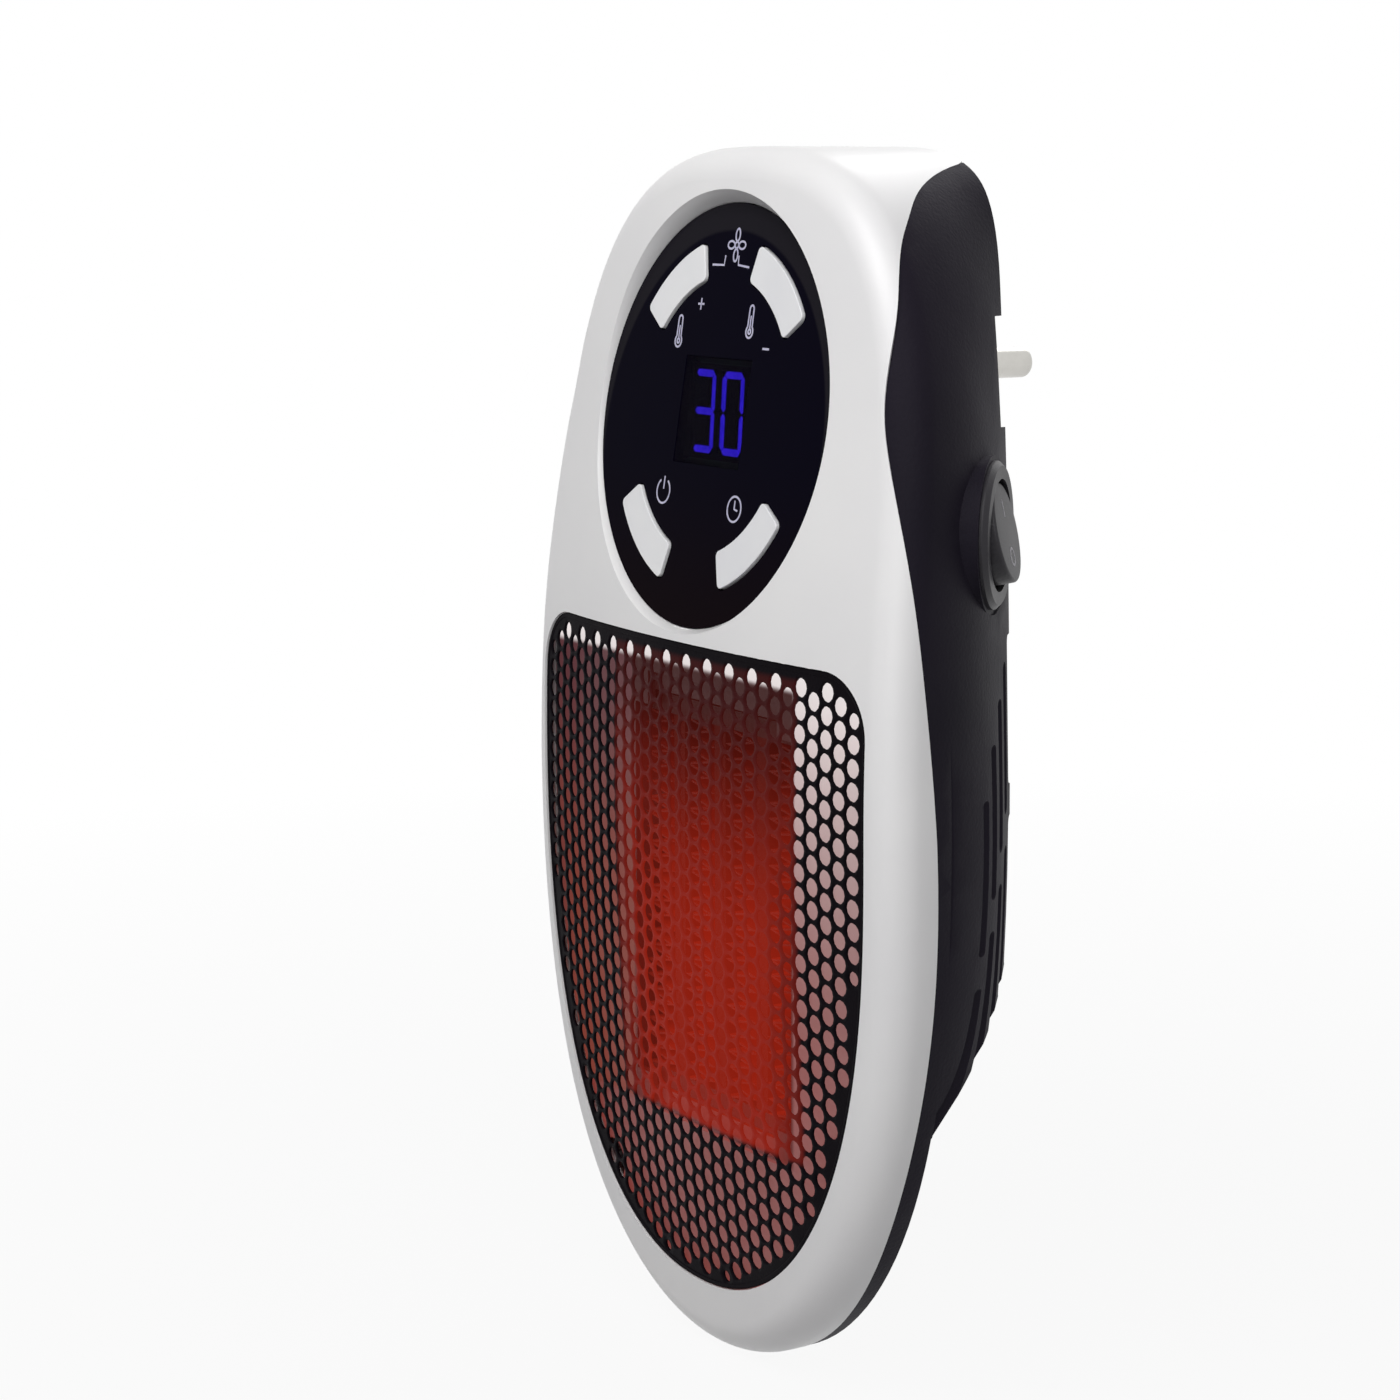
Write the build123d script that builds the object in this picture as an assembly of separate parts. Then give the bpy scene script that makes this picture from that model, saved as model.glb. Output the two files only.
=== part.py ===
from build123d import *
import math
import os

# Space heater that plugs into a wall outlet and hangs on its plug.
# Millimetres. The origin is the middle of the plug's face, on the wall plane.
# +X is to the right of someone facing the heater, +Y points into the wall, +Z is up.

# Housing: overall sizes
housing_height = 187.0
housing_width = 106.0
housing_depth = 39.2        # rear face to the foremost point of the front
widest_drop = 98.0          # from the top down to the widest level
plug_drop = 33.5            # from the top down to the plug's axis
plug_proud = 1.5            # the plug's face stands off the rear face
wall = 2.0
seam_gap = 0.1
overrun = 8.0               # cutting bodies run this far past what they cut

# Housing: outline seen from the front, two curves that meet at the widest level
crown_taper_share = 0.06
crown_z_power = 4.2
crown_x_power = 2.8
base_z_power = 2.6
base_x_power = 2.0
outline_steps = 9           # points on a quarter of the outline

# Housing: the sides draw in towards the rear face
draw_depth = 28.0
draw_share = 0.36
draw_power = 1.8
draw_fade_power = 7.0
draw_section_shares = (0.0, 0.35, 0.7, 1.0)

# Housing: front, arched across and curved from top to bottom
front_arch_radius = 300.0
front_round = 6.0
front_profile_shares = (    # (share of the height down, share of the depth forward)
    (-0.06, 0.665), (0.0, 0.709), (0.075, 0.776), (0.214, 0.872), (0.385, 0.978),
    (0.524, 1.0), (0.668, 0.985), (0.802, 0.954), (0.92, 0.905), (1.0, 0.852), (1.06, 0.81),
)

# Housing: lower part of the rear, which slopes forward to a thin chin
rear_arch_radius = 120.0
slope_top_drop = 116.0
slope_end_drop = 151.0
slope_round = 26.0
slope_start_depth_share = -0.22     # where the slope's line starts, behind the rear face
slope_end_depth_share = 0.45
chin_depth_share = 0.605

# Seam between the front and rear shells, seen from the side
seam_shares = (             # (share of the height down, share of the depth forward)
    (0.0105, -0.1), (0.0128, -0.013), (0.016, 0.077), (0.026, 0.258), (0.041, 0.408),
    (0.058, 0.51), (0.075, 0.592), (0.118, 0.681), (0.16, 0.74), (0.246, 0.788),
    (0.332, 0.765), (0.503, 0.689), (0.674, 0.676), (0.845, 0.699), (1.0, 0.65), (1.06, 0.62),
)

# Control panel, a round disc that leans back, with its keys
panel_radius = 32.4
panel_thickness = 1.6
panel_drop = 40.5           # from the top down to the panel's middle
panel_set_back = 2.5        # behind the front's surface at the panel's middle
panel_lean = 9.0            # degrees
panel_fit = 0.15
panel_bevel = 45.0          # degrees, slope of the bevel round the panel
seat_width = 1.8
seat_ring_wall = 2.8
seat_thickness = 1.4
key_inner_share = 0.66
key_outer_share = 0.841
upper_key_angles = (17.0, 55.0)     # degrees from the top of the panel
lower_key_angles = (123.0, 161.5)
key_corner = 0.9
key_proud = 0.4
key_clearance = 0.3
key_travel = 0.5
key_lip = 0.8
key_lip_thickness = 0.6
key_lip_gap = 0.25
plunger_radius = 1.5
plunger_entry = 0.25
plunger_clearance = 0.3
tact_side = 6.0
tact_height = 1.8
board_thickness = 1.2
board_depth = 4.9           # behind the panel's front
board_radius = 28.0
post_radius = 2.4
post_ring_share = 0.77
window_width = 19.0
window_height = 16.5
window_rise = 0.6           # the display's middle, above the panel's middle
lens_fit = 0.1
lens_rim = 1.0
lens_rim_thickness = 0.6
lens_plate = 0.7            # from the panel's front to the back of the lens's plate
lens_wall = 0.6
display_gap = 0.3
digit_width = 6.4
digit_height = 12.7
digit_stroke = 1.3
digit_gap = 1.8
digit_depth = 0.2
digit_slant = -0.15         # across for each step up
chip_width = 8.0
chip_height = 5.0
chip_thickness = 1.2
chip_fall = 14.5
small_screw_radius = 0.9
small_screw_head_radius = 1.7
small_screw_head = 1.0
small_screw_length = 3.6
recess_length_share = 1.2
recess_width_share = 0.3

# Grille, a perforated sheet with a straight top and a round bottom
grille_top_drop = 74.5
grille_bottom_drop = 175.7
grille_half_width = 47.2
grille_corner = 9.5
grille_z_power = 2.5
grille_x_power = 2.2
grille_set_back = 0.4
grille_thickness = 0.8
grille_ledge = 1.6
grille_fit = 0.15
hole_pitch = 6.4
hole_share = 0.76
hole_margin = 1.2
grille_steps = 9

# Heater: frame with its window, heating element and cut-out
frame_top_drop = 71.0
frame_tab = 4.0
window_half_width = 23.0
window_top_drop = 82.0
window_bottom_drop = 152.8
frame_front = 33.6          # from the wall plane to the frame's front face
frame_plate = 1.4
frame_clearance = 0.3
frame_tube_wall = 1.2
element_half_width = 22.7
element_height = 64.0
element_depth = 7.6
element_gap = 0.3
bar_thickness = 3.2
bar_count = 3
fin_pitch = 2.4
fin_thickness = 0.25
rail_height = 3.0
cutout_radius = 3.2
cutout_length = 9.0
cutout_bracket = 0.8
cutout_foot_share = 0.9

# Fan behind the element
fan_side = 50.0
fan_depth = 10.0
fan_axis_drop = 105.5
fan_back = 12.4             # from the wall plane to the fan's rear face
fan_corner = 4.0
fan_bore_radius = 23.8
fan_rim_inset = 0.9
hub_radius = 9.5
hub_depth = 7.0
blade_count = 7
blade_tip_radius = 22.8
blade_thickness = 1.1
blade_twist = 38.0          # degrees
strut_width = 2.4
strut_depth = 1.6
motor_radius = 8.0
shaft_radius = 1.0
shaft_clearance = 0.05
running_gap = 0.4
fan_screw_radius = 1.4
fan_screw_head_radius = 2.6
fan_screw_head = 1.4
fan_post_radius = 3.2
fan_hole_inset = 4.0
fan_screw_length = 12.4
fan_screw_set_back = 0.2
blade_chord = 9.0

# Round plug, which the housing turns on
plug_radius = 20.0
plug_depth = 12.5
plug_edge = 1.0
plug_wall = 3.5
flange_radius = 21.6
flange_thickness = 2.4
swivel_gap = 0.3
collar_wall = 2.0
retainer_radius = 26.2
retainer_thickness = 1.6
retainer_screw_ring = 24.6
retainer_screw_angles = (90.0, 210.0, 330.0)
retainer_boss_radius = 1.9
stop_reach = 1.4
stop_width = 3.0
pin_radius = 2.4
pin_length = 19.0
pin_spacing = 19.0
pin_root = 7.0
pin_neck = 0.5
pin_neck_radius = 2.1
pin_recess = 0.4             # round each neck, in the plug's face
pin_fit = 0.02
pin_tip = 1.2
contact_width = 6.0
contact_length = 9.0
contact_thickness = 0.8

# Rocker switch on the right side, and the thumb notches beside the plug
switch_drop = 56.0
switch_x = 43.4
switch_y = 12.0             # from the wall plane to the middle of its seat
switch_turn = 43.0          # degrees, the way it faces, from +X towards the wall
bezel_radius = 10.8
bezel_height = 1.2
bezel_chamfer = 0.7
seat_pad_radius = 11.6
seat_pad_depth = 3.6
switch_barrel_radius = 9.4
switch_barrel_depth = 12.0
switch_fit = 0.1
well_radius = 8.2
well_depth = 6.1
rocker_radius = 7.4
rocker_rise = 2.25          # its face above the seat, when level
rocker_skirt = 3.0
rocker_pivot_depth = 0.5    # its axis below the seat
rocker_tilt = 12.0          # degrees, to each side
rocker_edge = 0.5
rocker_pin_radius = 0.8
rocker_pin_reach = 8.9
running_clearance = 0.05
tab_width = 4.8
tab_length = 5.0
tab_thickness = 0.8
tab_pitch = 6.4
notch_height = 16.5
notch_floor = 28.4          # from the middle plane to the notch's floor
notch_reach = 3.0
notch_lean = 5.0            # degrees
notch_round = 1.4

# Vents round the lower rear, two tiers of upright slots
vent_ring_radius = 51.0
vent_step = 7.0             # degrees
vent_columns = 10           # to each side of the middle
vent_slot_share = 0.62
vent_top_drop = 66.0
vent_fall = 28.0
vent_fall_power = 3.0
vent_length = 23.0
vent_bridge = 4.7
vent_overrun = 8.0
vent_reach = 33.0           # from vent_overrun behind the wall plane forward

# Power board and its components
power_front = 22.4          # from the wall plane to the board's front face
power_thickness = 1.6
power_left = 35.0
power_right = 24.0
power_top_drop = 20.0
power_bottom_drop = 73.5
power_posts = ((-32.0, 23.0), (-32.0, 70.5), (21.0, 70.5))   # across, and down from the top
power_post_radius = 2.6
relay_size = (10.0, 12.4, 19.0)
relay_place = (-30.0, 50.0)
transformer_size = (18.0, 12.6, 13.0)
transformer_place = (-8.0, 66.0)
core_size = (14.0, 10.0, 1.3)
capacitor_radius = 4.2
capacitor_length = 12.0
capacitor_places = ((6.0, 66.0), (15.0, 66.0))
capacitor_edge = 0.6
terminal_size = (9.0, 8.0, 12.0)
terminal_place = (-30.0, 33.2)
terminal_count = 3
terminal_hole_radius = 1.2
terminal_hole_depth = 5.0

# Screws that hold the shells together
shell_screw_radius = 1.5
shell_screw_head_radius = 2.6
shell_screw_head = 1.4
shell_screw_length = 7.5
boss_radius = 3.4
screw_fit = 0.02
screw_clearance = 0.2
shell_screw_places = (      # (across, down from the top, rear face to the wall, split to the wall)
    (18.0, 9.5, 1.5, 6.5),
    (31.2, 165.0, 25.22, 28.2),
)

# Places worked out from the sizes above
top_z = plug_drop
bottom_z = plug_drop - housing_height
widest_z = plug_drop - widest_drop
rear_y = -plug_proud
front_y = rear_y - housing_depth
half_width = housing_width / 2
draw_start_y = rear_y - draw_depth
crown_height = widest_drop
base_height = housing_height - widest_drop
base_align = (Align.CENTER, Align.CENTER, Align.MIN)


def drop(distance):
    """Height of a level that lies this far below the top."""
    return top_z - distance


def outline_half_width(z, inset):
    """Half the housing's width at height z, for the outline drawn in by inset."""
    reach = half_width - inset
    if z >= widest_z:
        u = min((z - widest_z) / (crown_height - inset), 1.0)
        body = 1.0 - u ** crown_z_power
        return reach * (1.0 - crown_taper_share * u) * body ** (1.0 / crown_x_power)
    v = min((widest_z - z) / (base_height - inset), 1.0)
    return reach * (1.0 - v ** base_z_power) ** (1.0 / base_x_power)


def side_draw(z, depth_share):
    """Share of the half width that is left at a height, depth_share of the way to the rear face."""
    u = max((z - widest_z) / crown_height, 0.0)
    fade = 1.0 - min(u, 1.0) ** draw_fade_power
    return 1.0 - draw_share * fade * depth_share ** draw_power


def outline_wire(y, inset, depth_share):
    """The housing's closed outline at depth y."""
    right = []
    for step in range(2 * outline_steps + 1):
        angle = math.pi / 2 - math.pi * step / (2 * outline_steps)
        height = crown_height if angle > 0 else base_height
        z = widest_z + (height - inset) * math.sin(angle)
        x = outline_half_width(z, inset) * side_draw(z, depth_share)
        if step in (0, 2 * outline_steps):
            x = 0.0
        right.append((x, y, z))
    left = [(-x, y, z) for x, y, z in reversed(right[1:-1])]
    return Wire([Spline(*(right + left), periodic=True)])


def front_form(inset):
    """Everything behind the arched front surface, drawn in by inset."""
    axis_y = front_y + front_arch_radius
    line = []
    for down, forward in front_profile_shares:
        line.append((0, rear_y - forward * housing_depth + inset, drop(down * housing_height)))
    upper = (0, axis_y, line[0][2])
    lower = (0, axis_y, line[-1][2])
    edge = [Spline(*line), Line(line[-1], lower), Line(lower, upper), Line(upper, line[0])]
    section = make_face(Wire(edge))
    spin_axis = Axis((0, axis_y, 0), (0, 0, 1))
    spread = 2 * math.degrees(math.asin((half_width + overrun) / front_arch_radius))
    return revolve(section.rotate(spin_axis, -spread / 2), spin_axis, spread)


def rear_form(inset):
    """Everything in front of the rear's arched slope and its chin, drawn in by inset."""
    slope_y = rear_y - slope_start_depth_share * housing_depth - inset
    end_y = rear_y - slope_end_depth_share * housing_depth - inset
    chin_y = rear_y - chin_depth_share * housing_depth - inset
    axis_y = slope_y - rear_arch_radius
    slope_z = drop(slope_top_drop) + inset
    end_z = drop(slope_end_drop) + inset
    high = drop(-overrun)
    low = 2 * end_z - slope_z
    profile = FilletPolyline(
        (0, slope_y, high),
        (0, slope_y, slope_z),
        (0, 2 * end_y - slope_y, low),
        radius=slope_round,
    )
    lower = (0, axis_y, low)
    upper = (0, axis_y, high)
    closing = [Line(profile @ 1, lower), Line(lower, upper), Line(upper, profile @ 0)]
    section = make_face(Wire(list(profile.edges()) + closing))
    spin_axis = Axis((0, axis_y, 0), (0, 0, 1))
    spread = 2 * math.degrees(math.asin((half_width + overrun) / rear_arch_radius))
    arch = revolve(section.rotate(spin_axis, -spread / 2), spin_axis, spread)
    slab_depth = housing_depth + overrun
    slab_height = housing_height + 2 * overrun
    slab = Box(housing_width + 2 * overrun, slab_depth, slab_height)
    return arch + Pos(0, chin_y - slab_depth / 2, (top_z + bottom_z) / 2) * slab


def notch_form(side, grow):
    """Thumb notch in the rear edge, on the side that is given, grown by grow."""
    corner = (Align.MIN, Align.MIN, Align.CENTER)
    body = Box(half_width, notch_reach + overrun, notch_height + 2 * grow, align=corner)
    floor_edges = body.edges().filter_by(Axis.Y).sort_by(Axis.X)[0:2]
    body = fillet(floor_edges, notch_round)
    y = rear_y - notch_reach - grow
    body = Pos(notch_floor - grow, y, 0) * Rot(0, -notch_lean, 0) * body
    return body if side > 0 else body.mirror(Plane.YZ)


def biggest(shape):
    """The largest solid of a shape."""
    return shape.solids().sort_by(SortBy.VOLUME)[-1]


def housing_form(inset):
    """The closed outer form of the housing, drawn in by inset on every side."""
    first_y = front_y - overrun
    wires = [outline_wire(first_y, inset, 0.0)]
    wires.append(outline_wire((first_y + draw_start_y) / 2, inset, 0.0))
    for share in draw_section_shares:
        wires.append(outline_wire(draw_start_y + share * (draw_depth - inset), inset, share))
    body = biggest(Solid.make_loft(wires) & front_form(inset))
    rim = body.faces().sort_by(Axis.Y)[0].edges()
    body = biggest(fillet(rim, front_round - inset) & rear_form(inset))
    return biggest(body - notch_form(1, inset) - notch_form(-1, inset))


def seam_cutter(gap):
    """The space behind the seam, moved back by gap."""
    line = []
    for down, forward in seam_shares:
        line.append((0, rear_y - forward * housing_depth + gap, drop(down * housing_height)))
    far_y = line[0][1] + overrun
    low = (0, far_y, line[-1][2])
    high = (0, far_y, line[0][2])
    edges = [Spline(*line), Line(line[-1], low), Line(low, high), Line(high, line[0])]
    return extrude(make_face(Wire(edges)), amount=half_width + overrun, both=True, dir=(1, 0, 0))

def along_y(x, z, radius, front, rear):
    """Round bar along Y between two depths."""
    return Pos(x, front, z) * Rot(-90, 0, 0) * Cylinder(radius, rear - front, align=base_align)


def along_z(x, y, radius, low, high):
    """Round bar along Z between two levels of a local frame."""
    return Pos(x, y, low) * Cylinder(radius, high - low, align=base_align)


def block(left, right, front, rear, low, high):
    """Box between six planes."""
    middle = Pos((left + right) / 2, (front + rear) / 2, (low + high) / 2)
    return middle * Box(right - left, rear - front, high - low)


def ring_point(radius, angle):
    """Point on a circle; the angle in degrees runs clockwise from the top."""
    turn = math.radians(angle)
    return radius * math.sin(turn), radius * math.cos(turn)


def forward_share(down_share):
    """How far the front stands out, as a share of the depth, at a share of the height down."""
    forward = 0.0
    for (upper_down, upper_forward), (lower_down, lower_forward) in zip(
        front_profile_shares, front_profile_shares[1:]
    ):
        if upper_down <= down_share < lower_down:
            part = (down_share - upper_down) / (lower_down - upper_down)
            forward = upper_forward + part * (lower_forward - upper_forward)
    return forward


def turned(points):
    """Solid of revolution about Z, from its half profile as (radius, height) points."""
    profile = make_face(Polyline(*[(radius, 0, height) for radius, height in points], close=True))
    return revolve(profile, Axis.Z, 360)


def screw(radius, length, head_radius, head):
    """Screw that points along -Z, its head on the plane Z = 0, with a cross recess."""
    body = along_z(0, 0, radius, -length, 0) + along_z(0, 0, head_radius, 0, head)
    slot = Box(head_radius * recess_length_share, head_radius * recess_width_share, head)
    slot = Pos(0, 0, head) * slot
    return body - slot - Rot(0, 0, 90) * slot


# Housing forms and the two shells, still plain
outer = housing_form(0.0)
inner = housing_form(wall)
middle = housing_form(wall / 2)
fitted = housing_form(wall + frame_clearance)
shell = biggest(outer - inner)
front_shell = biggest(shell - seam_cutter(0.0))
rear_shell = biggest(shell & seam_cutter(seam_gap))
rear_wall_space = seam_cutter(-seam_gap) - fitted

# Panel frame: x to the right, y up the panel, z out of its front
lean = math.radians(panel_lean)
panel_forward = forward_share(panel_drop / housing_height)
panel_y = rear_y - panel_forward * housing_depth + panel_set_back
panel_plane = Plane(
    origin=(0, panel_y, drop(panel_drop)),
    x_dir=(1, 0, 0),
    z_dir=(0, -math.cos(lean), math.sin(lean)),
)
panel_place = panel_plane.location
board_front = -board_depth
board_back = board_front - board_thickness
lip_front = -panel_thickness - key_lip_gap
lip_back = lip_front - key_lip_thickness
tact_top = board_front + tact_height
seat_radius = panel_radius + seat_ring_wall
through_radius = panel_radius - seat_width
pocket_radius = panel_radius + panel_fit
seat_back = -panel_thickness - seat_thickness

# Switch frame: x along the rocker's axis, y up, z out of its face
turn = math.radians(switch_turn)
switch_plane = Plane(
    origin=(switch_x, -switch_y, drop(switch_drop)),
    x_dir=(-math.sin(turn), math.cos(turn), 0),
    z_dir=(math.cos(turn), math.sin(turn), 0),
)
switch_place = switch_plane.location

# Depths of the plug, its flange, collar and retainer
flange_back = rear_y - wall - swivel_gap
flange_front = flange_back - flange_thickness
collar_front = flange_front - swivel_gap
collar_radius = flange_radius + swivel_gap
retainer_front = collar_front - retainer_thickness
bore_radius = plug_radius + swivel_gap
retainer_spots = []
for angle in retainer_screw_angles:
    turn_angle = math.radians(angle)
    reach = retainer_screw_ring
    retainer_spots.append((reach * math.cos(turn_angle), reach * math.sin(turn_angle)))

# Fan depths and places
fan_z = drop(fan_axis_drop)
fan_rear = -fan_back
fan_front = fan_rear - fan_depth
fan_spots = []
for side_x in (-1, 1):
    for side_z in (-1, 1):
        offset = fan_side / 2 - fan_hole_inset
        fan_spots.append((side_x * offset, fan_z + side_z * offset))
fan_head_back = fan_front + fan_screw_head + fan_screw_set_back

# Power board depths
power_board_front = -power_front
power_board_back = power_board_front + power_thickness


# Rear shell: vents
slots = []
for column in range(-vent_columns, vent_columns + 1):
    angle = math.radians(vent_step * column)
    x = vent_ring_radius * math.sin(angle)
    width = vent_slot_share * vent_ring_radius * math.radians(vent_step) * math.cos(angle)
    fall = vent_fall * abs(column / vent_columns) ** vent_fall_power
    for tier in (0, 1):
        top = drop(vent_top_drop + fall + tier * (vent_length + vent_bridge))
        slot = extrude(SlotOverall(vent_length, width, rotation=90), amount=vent_reach)
        slots.append(Pos(x, vent_overrun, top - vent_length / 2) * Rot(90, 0, 0) * slot)
rear_shell = biggest(rear_shell - slots)

# Rear shell: collar, posts, bosses and the pad of the switch, rooted in the middle of the wall
wall_middle = rear_y - wall / 2
collar_outer = collar_radius + collar_wall
collar_ring = [(collar_radius, 0), (collar_outer, 0)]
collar_ring += [(collar_outer, wall_middle - collar_front), (collar_radius, wall_middle - collar_front)]
collar = Pos(0, collar_front, 0) * Rot(-90, 0, 0) * turned(collar_ring)
for x, z in retainer_spots:
    collar += along_y(x, z, retainer_boss_radius, collar_front, wall_middle)
bars = []
for x, down in power_posts:
    bars.append(along_y(x, drop(down), power_post_radius, power_board_back, wall_middle))
for x, z in fan_spots:
    bars.append(along_y(x, z, fan_post_radius, fan_rear, wall_middle))
for x, down, face, split in shell_screw_places:
    for side in (-1, 1):
        bars.append(along_y(side * x, drop(down), boss_radius, -split, wall_middle))
posts = [biggest(bar & middle) for bar in bars]
pad = switch_place * along_z(0, 0, seat_pad_radius, -seat_pad_depth, 0)
rear_shell = rear_shell + [collar, pad] + posts

# Rear shell: bore, groove of the turning stop, the switch's opening and screw holes
groove_radius = flange_radius + stop_reach + swivel_gap
groove = along_y(0, 0, groove_radius, collar_front - overrun, rear_y - wall)
stop_low = -stop_width / 2 - running_clearance
keep_high = block(-half_width, half_width, -housing_depth, 0, stop_low, half_width)
cuts = [along_y(0, 0, bore_radius, collar_front - overrun, overrun), groove & keep_high]
for x, z in retainer_spots:
    cuts.append(along_y(x, z, small_screw_radius + screw_fit, collar_front - overrun, rear_y - wall))
for x, down in power_posts:
    hole_end = power_board_back + small_screw_length
    cuts.append(along_y(x, drop(down), small_screw_radius + screw_fit, power_board_back - overrun, hole_end))
for x, z in fan_spots:
    hole_end = fan_head_back + fan_screw_length
    cuts.append(along_y(x, z, fan_screw_radius + screw_fit, fan_rear - overrun, hole_end))
for x, down, face, split in shell_screw_places:
    well = shell_screw_head_radius + screw_clearance
    hole = shell_screw_radius + screw_clearance
    stepped = [(0, overrun), (well, overrun), (well, -face - shell_screw_head)]
    stepped += [(hole, -face - shell_screw_head), (hole, -split - overrun), (0, -split - overrun)]
    for side in (-1, 1):
        cuts.append(Pos(side * x, 0, drop(down)) * Rot(-90, 0, 0) * turned(stepped))
barrel_hole = switch_barrel_radius + switch_fit
stepped = [(0, overrun), (seat_pad_radius, overrun), (seat_pad_radius, 0), (barrel_hole, 0)]
stepped += [(barrel_hole, -switch_barrel_depth), (0, -switch_barrel_depth)]
cuts.append(switch_place * turned(stepped))
rear_shell = biggest(rear_shell - cuts)

# Front shell: seat of the panel and bosses, rooted in the middle of the wall
seat = panel_place * along_z(0, 0, seat_radius, seat_back, overrun)
extras = [biggest((seat & middle) - rear_wall_space)]
for x, down, face, split in shell_screw_places:
    for side in (-1, 1):
        bar = along_y(side * x, drop(down), boss_radius, front_y, -split - seam_gap)
        extras.append(biggest((bar & middle) - rear_wall_space))
front_shell = front_shell + extras

# Front shell: opening, pocket and bevel of the panel in one turned cut, and pilot holes
bevel_top = pocket_radius + overrun * math.tan(math.radians(panel_bevel))
profile = [(0, -overrun), (through_radius, -overrun), (through_radius, -panel_thickness)]
profile += [(pocket_radius, -panel_thickness), (pocket_radius, 0), (bevel_top, overrun), (0, overrun)]
cuts = [panel_place * turned(profile)]
for x, down, face, split in shell_screw_places:
    for side in (-1, 1):
        tip = -face - shell_screw_head - shell_screw_length - screw_clearance
        cuts.append(along_y(side * x, drop(down), shell_screw_radius + screw_fit, tip, 0))
front_shell = biggest(front_shell - cuts)


# Grille
def grille_half(z, inset):
    """Half the grille's width at height z, for its outline drawn in by inset."""
    half = grille_half_width - inset
    if z >= widest_z:
        return half
    reach = widest_z - drop(grille_bottom_drop) - inset
    v = min((widest_z - z) / reach, 1.0)
    return half * (1.0 - v ** grille_z_power) ** (1.0 / grille_x_power)


def grille_wire(y, inset):
    """The grille's outline: straight top, rounded upper corners and a round bottom."""
    half = grille_half_width - inset
    top = drop(grille_top_drop) - inset
    corner = grille_corner - inset
    shoulder = top - corner
    reach = widest_z - drop(grille_bottom_drop) - inset
    low = []
    for step in range(2 * grille_steps + 1):
        angle = math.pi * step / (2 * grille_steps)
        z = widest_z - reach * math.sin(angle)
        x = grille_half(z, inset) * (1 if 2 * step < 2 * grille_steps else -1)
        if step == grille_steps:
            x = 0.0
        low.append((x, y, z))
    bend = corner * math.sqrt(0.5)
    edges = [
        Line((half, y, shoulder), (half, y, widest_z)),
        Spline(*low, tangents=((0, 0, -1), (0, 0, 1))),
        Line((-half, y, widest_z), (-half, y, shoulder)),
        ThreePointArc(
            (-half, y, shoulder),
            (-half + corner - bend, y, shoulder + bend),
            (-half + corner, y, top),
        ),
        Line((-half + corner, y, top), (half - corner, y, top)),
        ThreePointArc(
            (half - corner, y, top),
            (half - corner + bend, y, shoulder + bend),
            (half, y, shoulder),
        ),
    ]
    return Wire(edges)


def inside_grille(x, z, margin):
    """Whether a point lies inside the grille's outline, at least margin from it."""
    top = drop(grille_top_drop)
    shoulder = top - grille_corner
    turn_x = grille_half_width - grille_corner
    if z > shoulder and abs(x) > turn_x:
        return math.hypot(abs(x) - turn_x, z - shoulder) <= grille_corner - margin
    if z > top - margin:
        return False
    if z < drop(grille_bottom_drop) + margin:
        return False
    return abs(x) <= grille_half(z - margin / 2, margin)


def grille_prism(inset):
    """Prism through the front with the grille's outline, drawn in by inset."""
    face = Face(grille_wire(front_y - overrun, inset))
    return extrude(face, amount=housing_depth / 2 + overrun, dir=(0, 1, 0))


grille_back = grille_set_back + grille_thickness
pocket = grille_prism(0.0) - front_form(grille_back)
front_shell = biggest(front_shell - pocket - grille_prism(grille_ledge))

hole_radius = hole_pitch * hole_share / math.sqrt(3)
row_step = hole_pitch * math.sqrt(3) / 2
margin = grille_ledge + hole_margin + hole_radius
start_y = front_y - overrun
holes = []
row_count = int((grille_bottom_drop - grille_top_drop) / row_step) + 1
column_count = int(grille_half_width / hole_pitch) + 1
for row in range(row_count):
    z = drop(grille_top_drop) - margin - row * row_step
    shift = 0.5 * hole_pitch * (row % 2)
    for column in range(-column_count, column_count + 1):
        x = column * hole_pitch + shift
        if inside_grille(x, z, margin):
            corners = []
            for side in range(6):
                angle = math.pi / 2 + side * math.pi / 3
                corner_x = x + hole_radius * math.cos(angle)
                corners.append((corner_x, start_y, z + hole_radius * math.sin(angle)))
            hole = Face(Wire.make_polygon(corners, close=True))
            holes.append(extrude(hole, amount=housing_depth / 2 + overrun, dir=(0, 1, 0)))
grille = (grille_prism(grille_fit) & front_form(grille_set_back)) - front_form(grille_back)
grille = biggest(grille - holes)

# Control panel with the openings of its display and keys, and the posts behind it
window_x = window_width / 2
window_z = window_height / 2
key_inner = key_inner_share * panel_radius
key_outer = key_outer_share * panel_radius


def sector(inner_radius, outer_radius, first, last, corner):
    """Flat ring sector with rounded corners; angles run clockwise from the top."""
    spots = [ring_point(inner_radius, first), ring_point(outer_radius, first)]
    spots += [ring_point(outer_radius, last), ring_point(inner_radius, last)]
    middle = (first + last) / 2
    edges = Line(spots[0], spots[1])
    edges += ThreePointArc(spots[1], ring_point(outer_radius, middle), spots[2])
    edges += Line(spots[2], spots[3])
    edges += ThreePointArc(spots[3], ring_point(inner_radius, middle), spots[0])
    face = make_face(edges)
    return fillet(face.vertices(), corner)


def grown_sector(first, last, grow, corner):
    """Sector of a key, grown by grow on every side."""
    spread = math.degrees(grow / ((key_inner + key_outer) / 2))
    return sector(key_inner - grow, key_outer + grow, first - spread, last + spread, corner)


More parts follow.
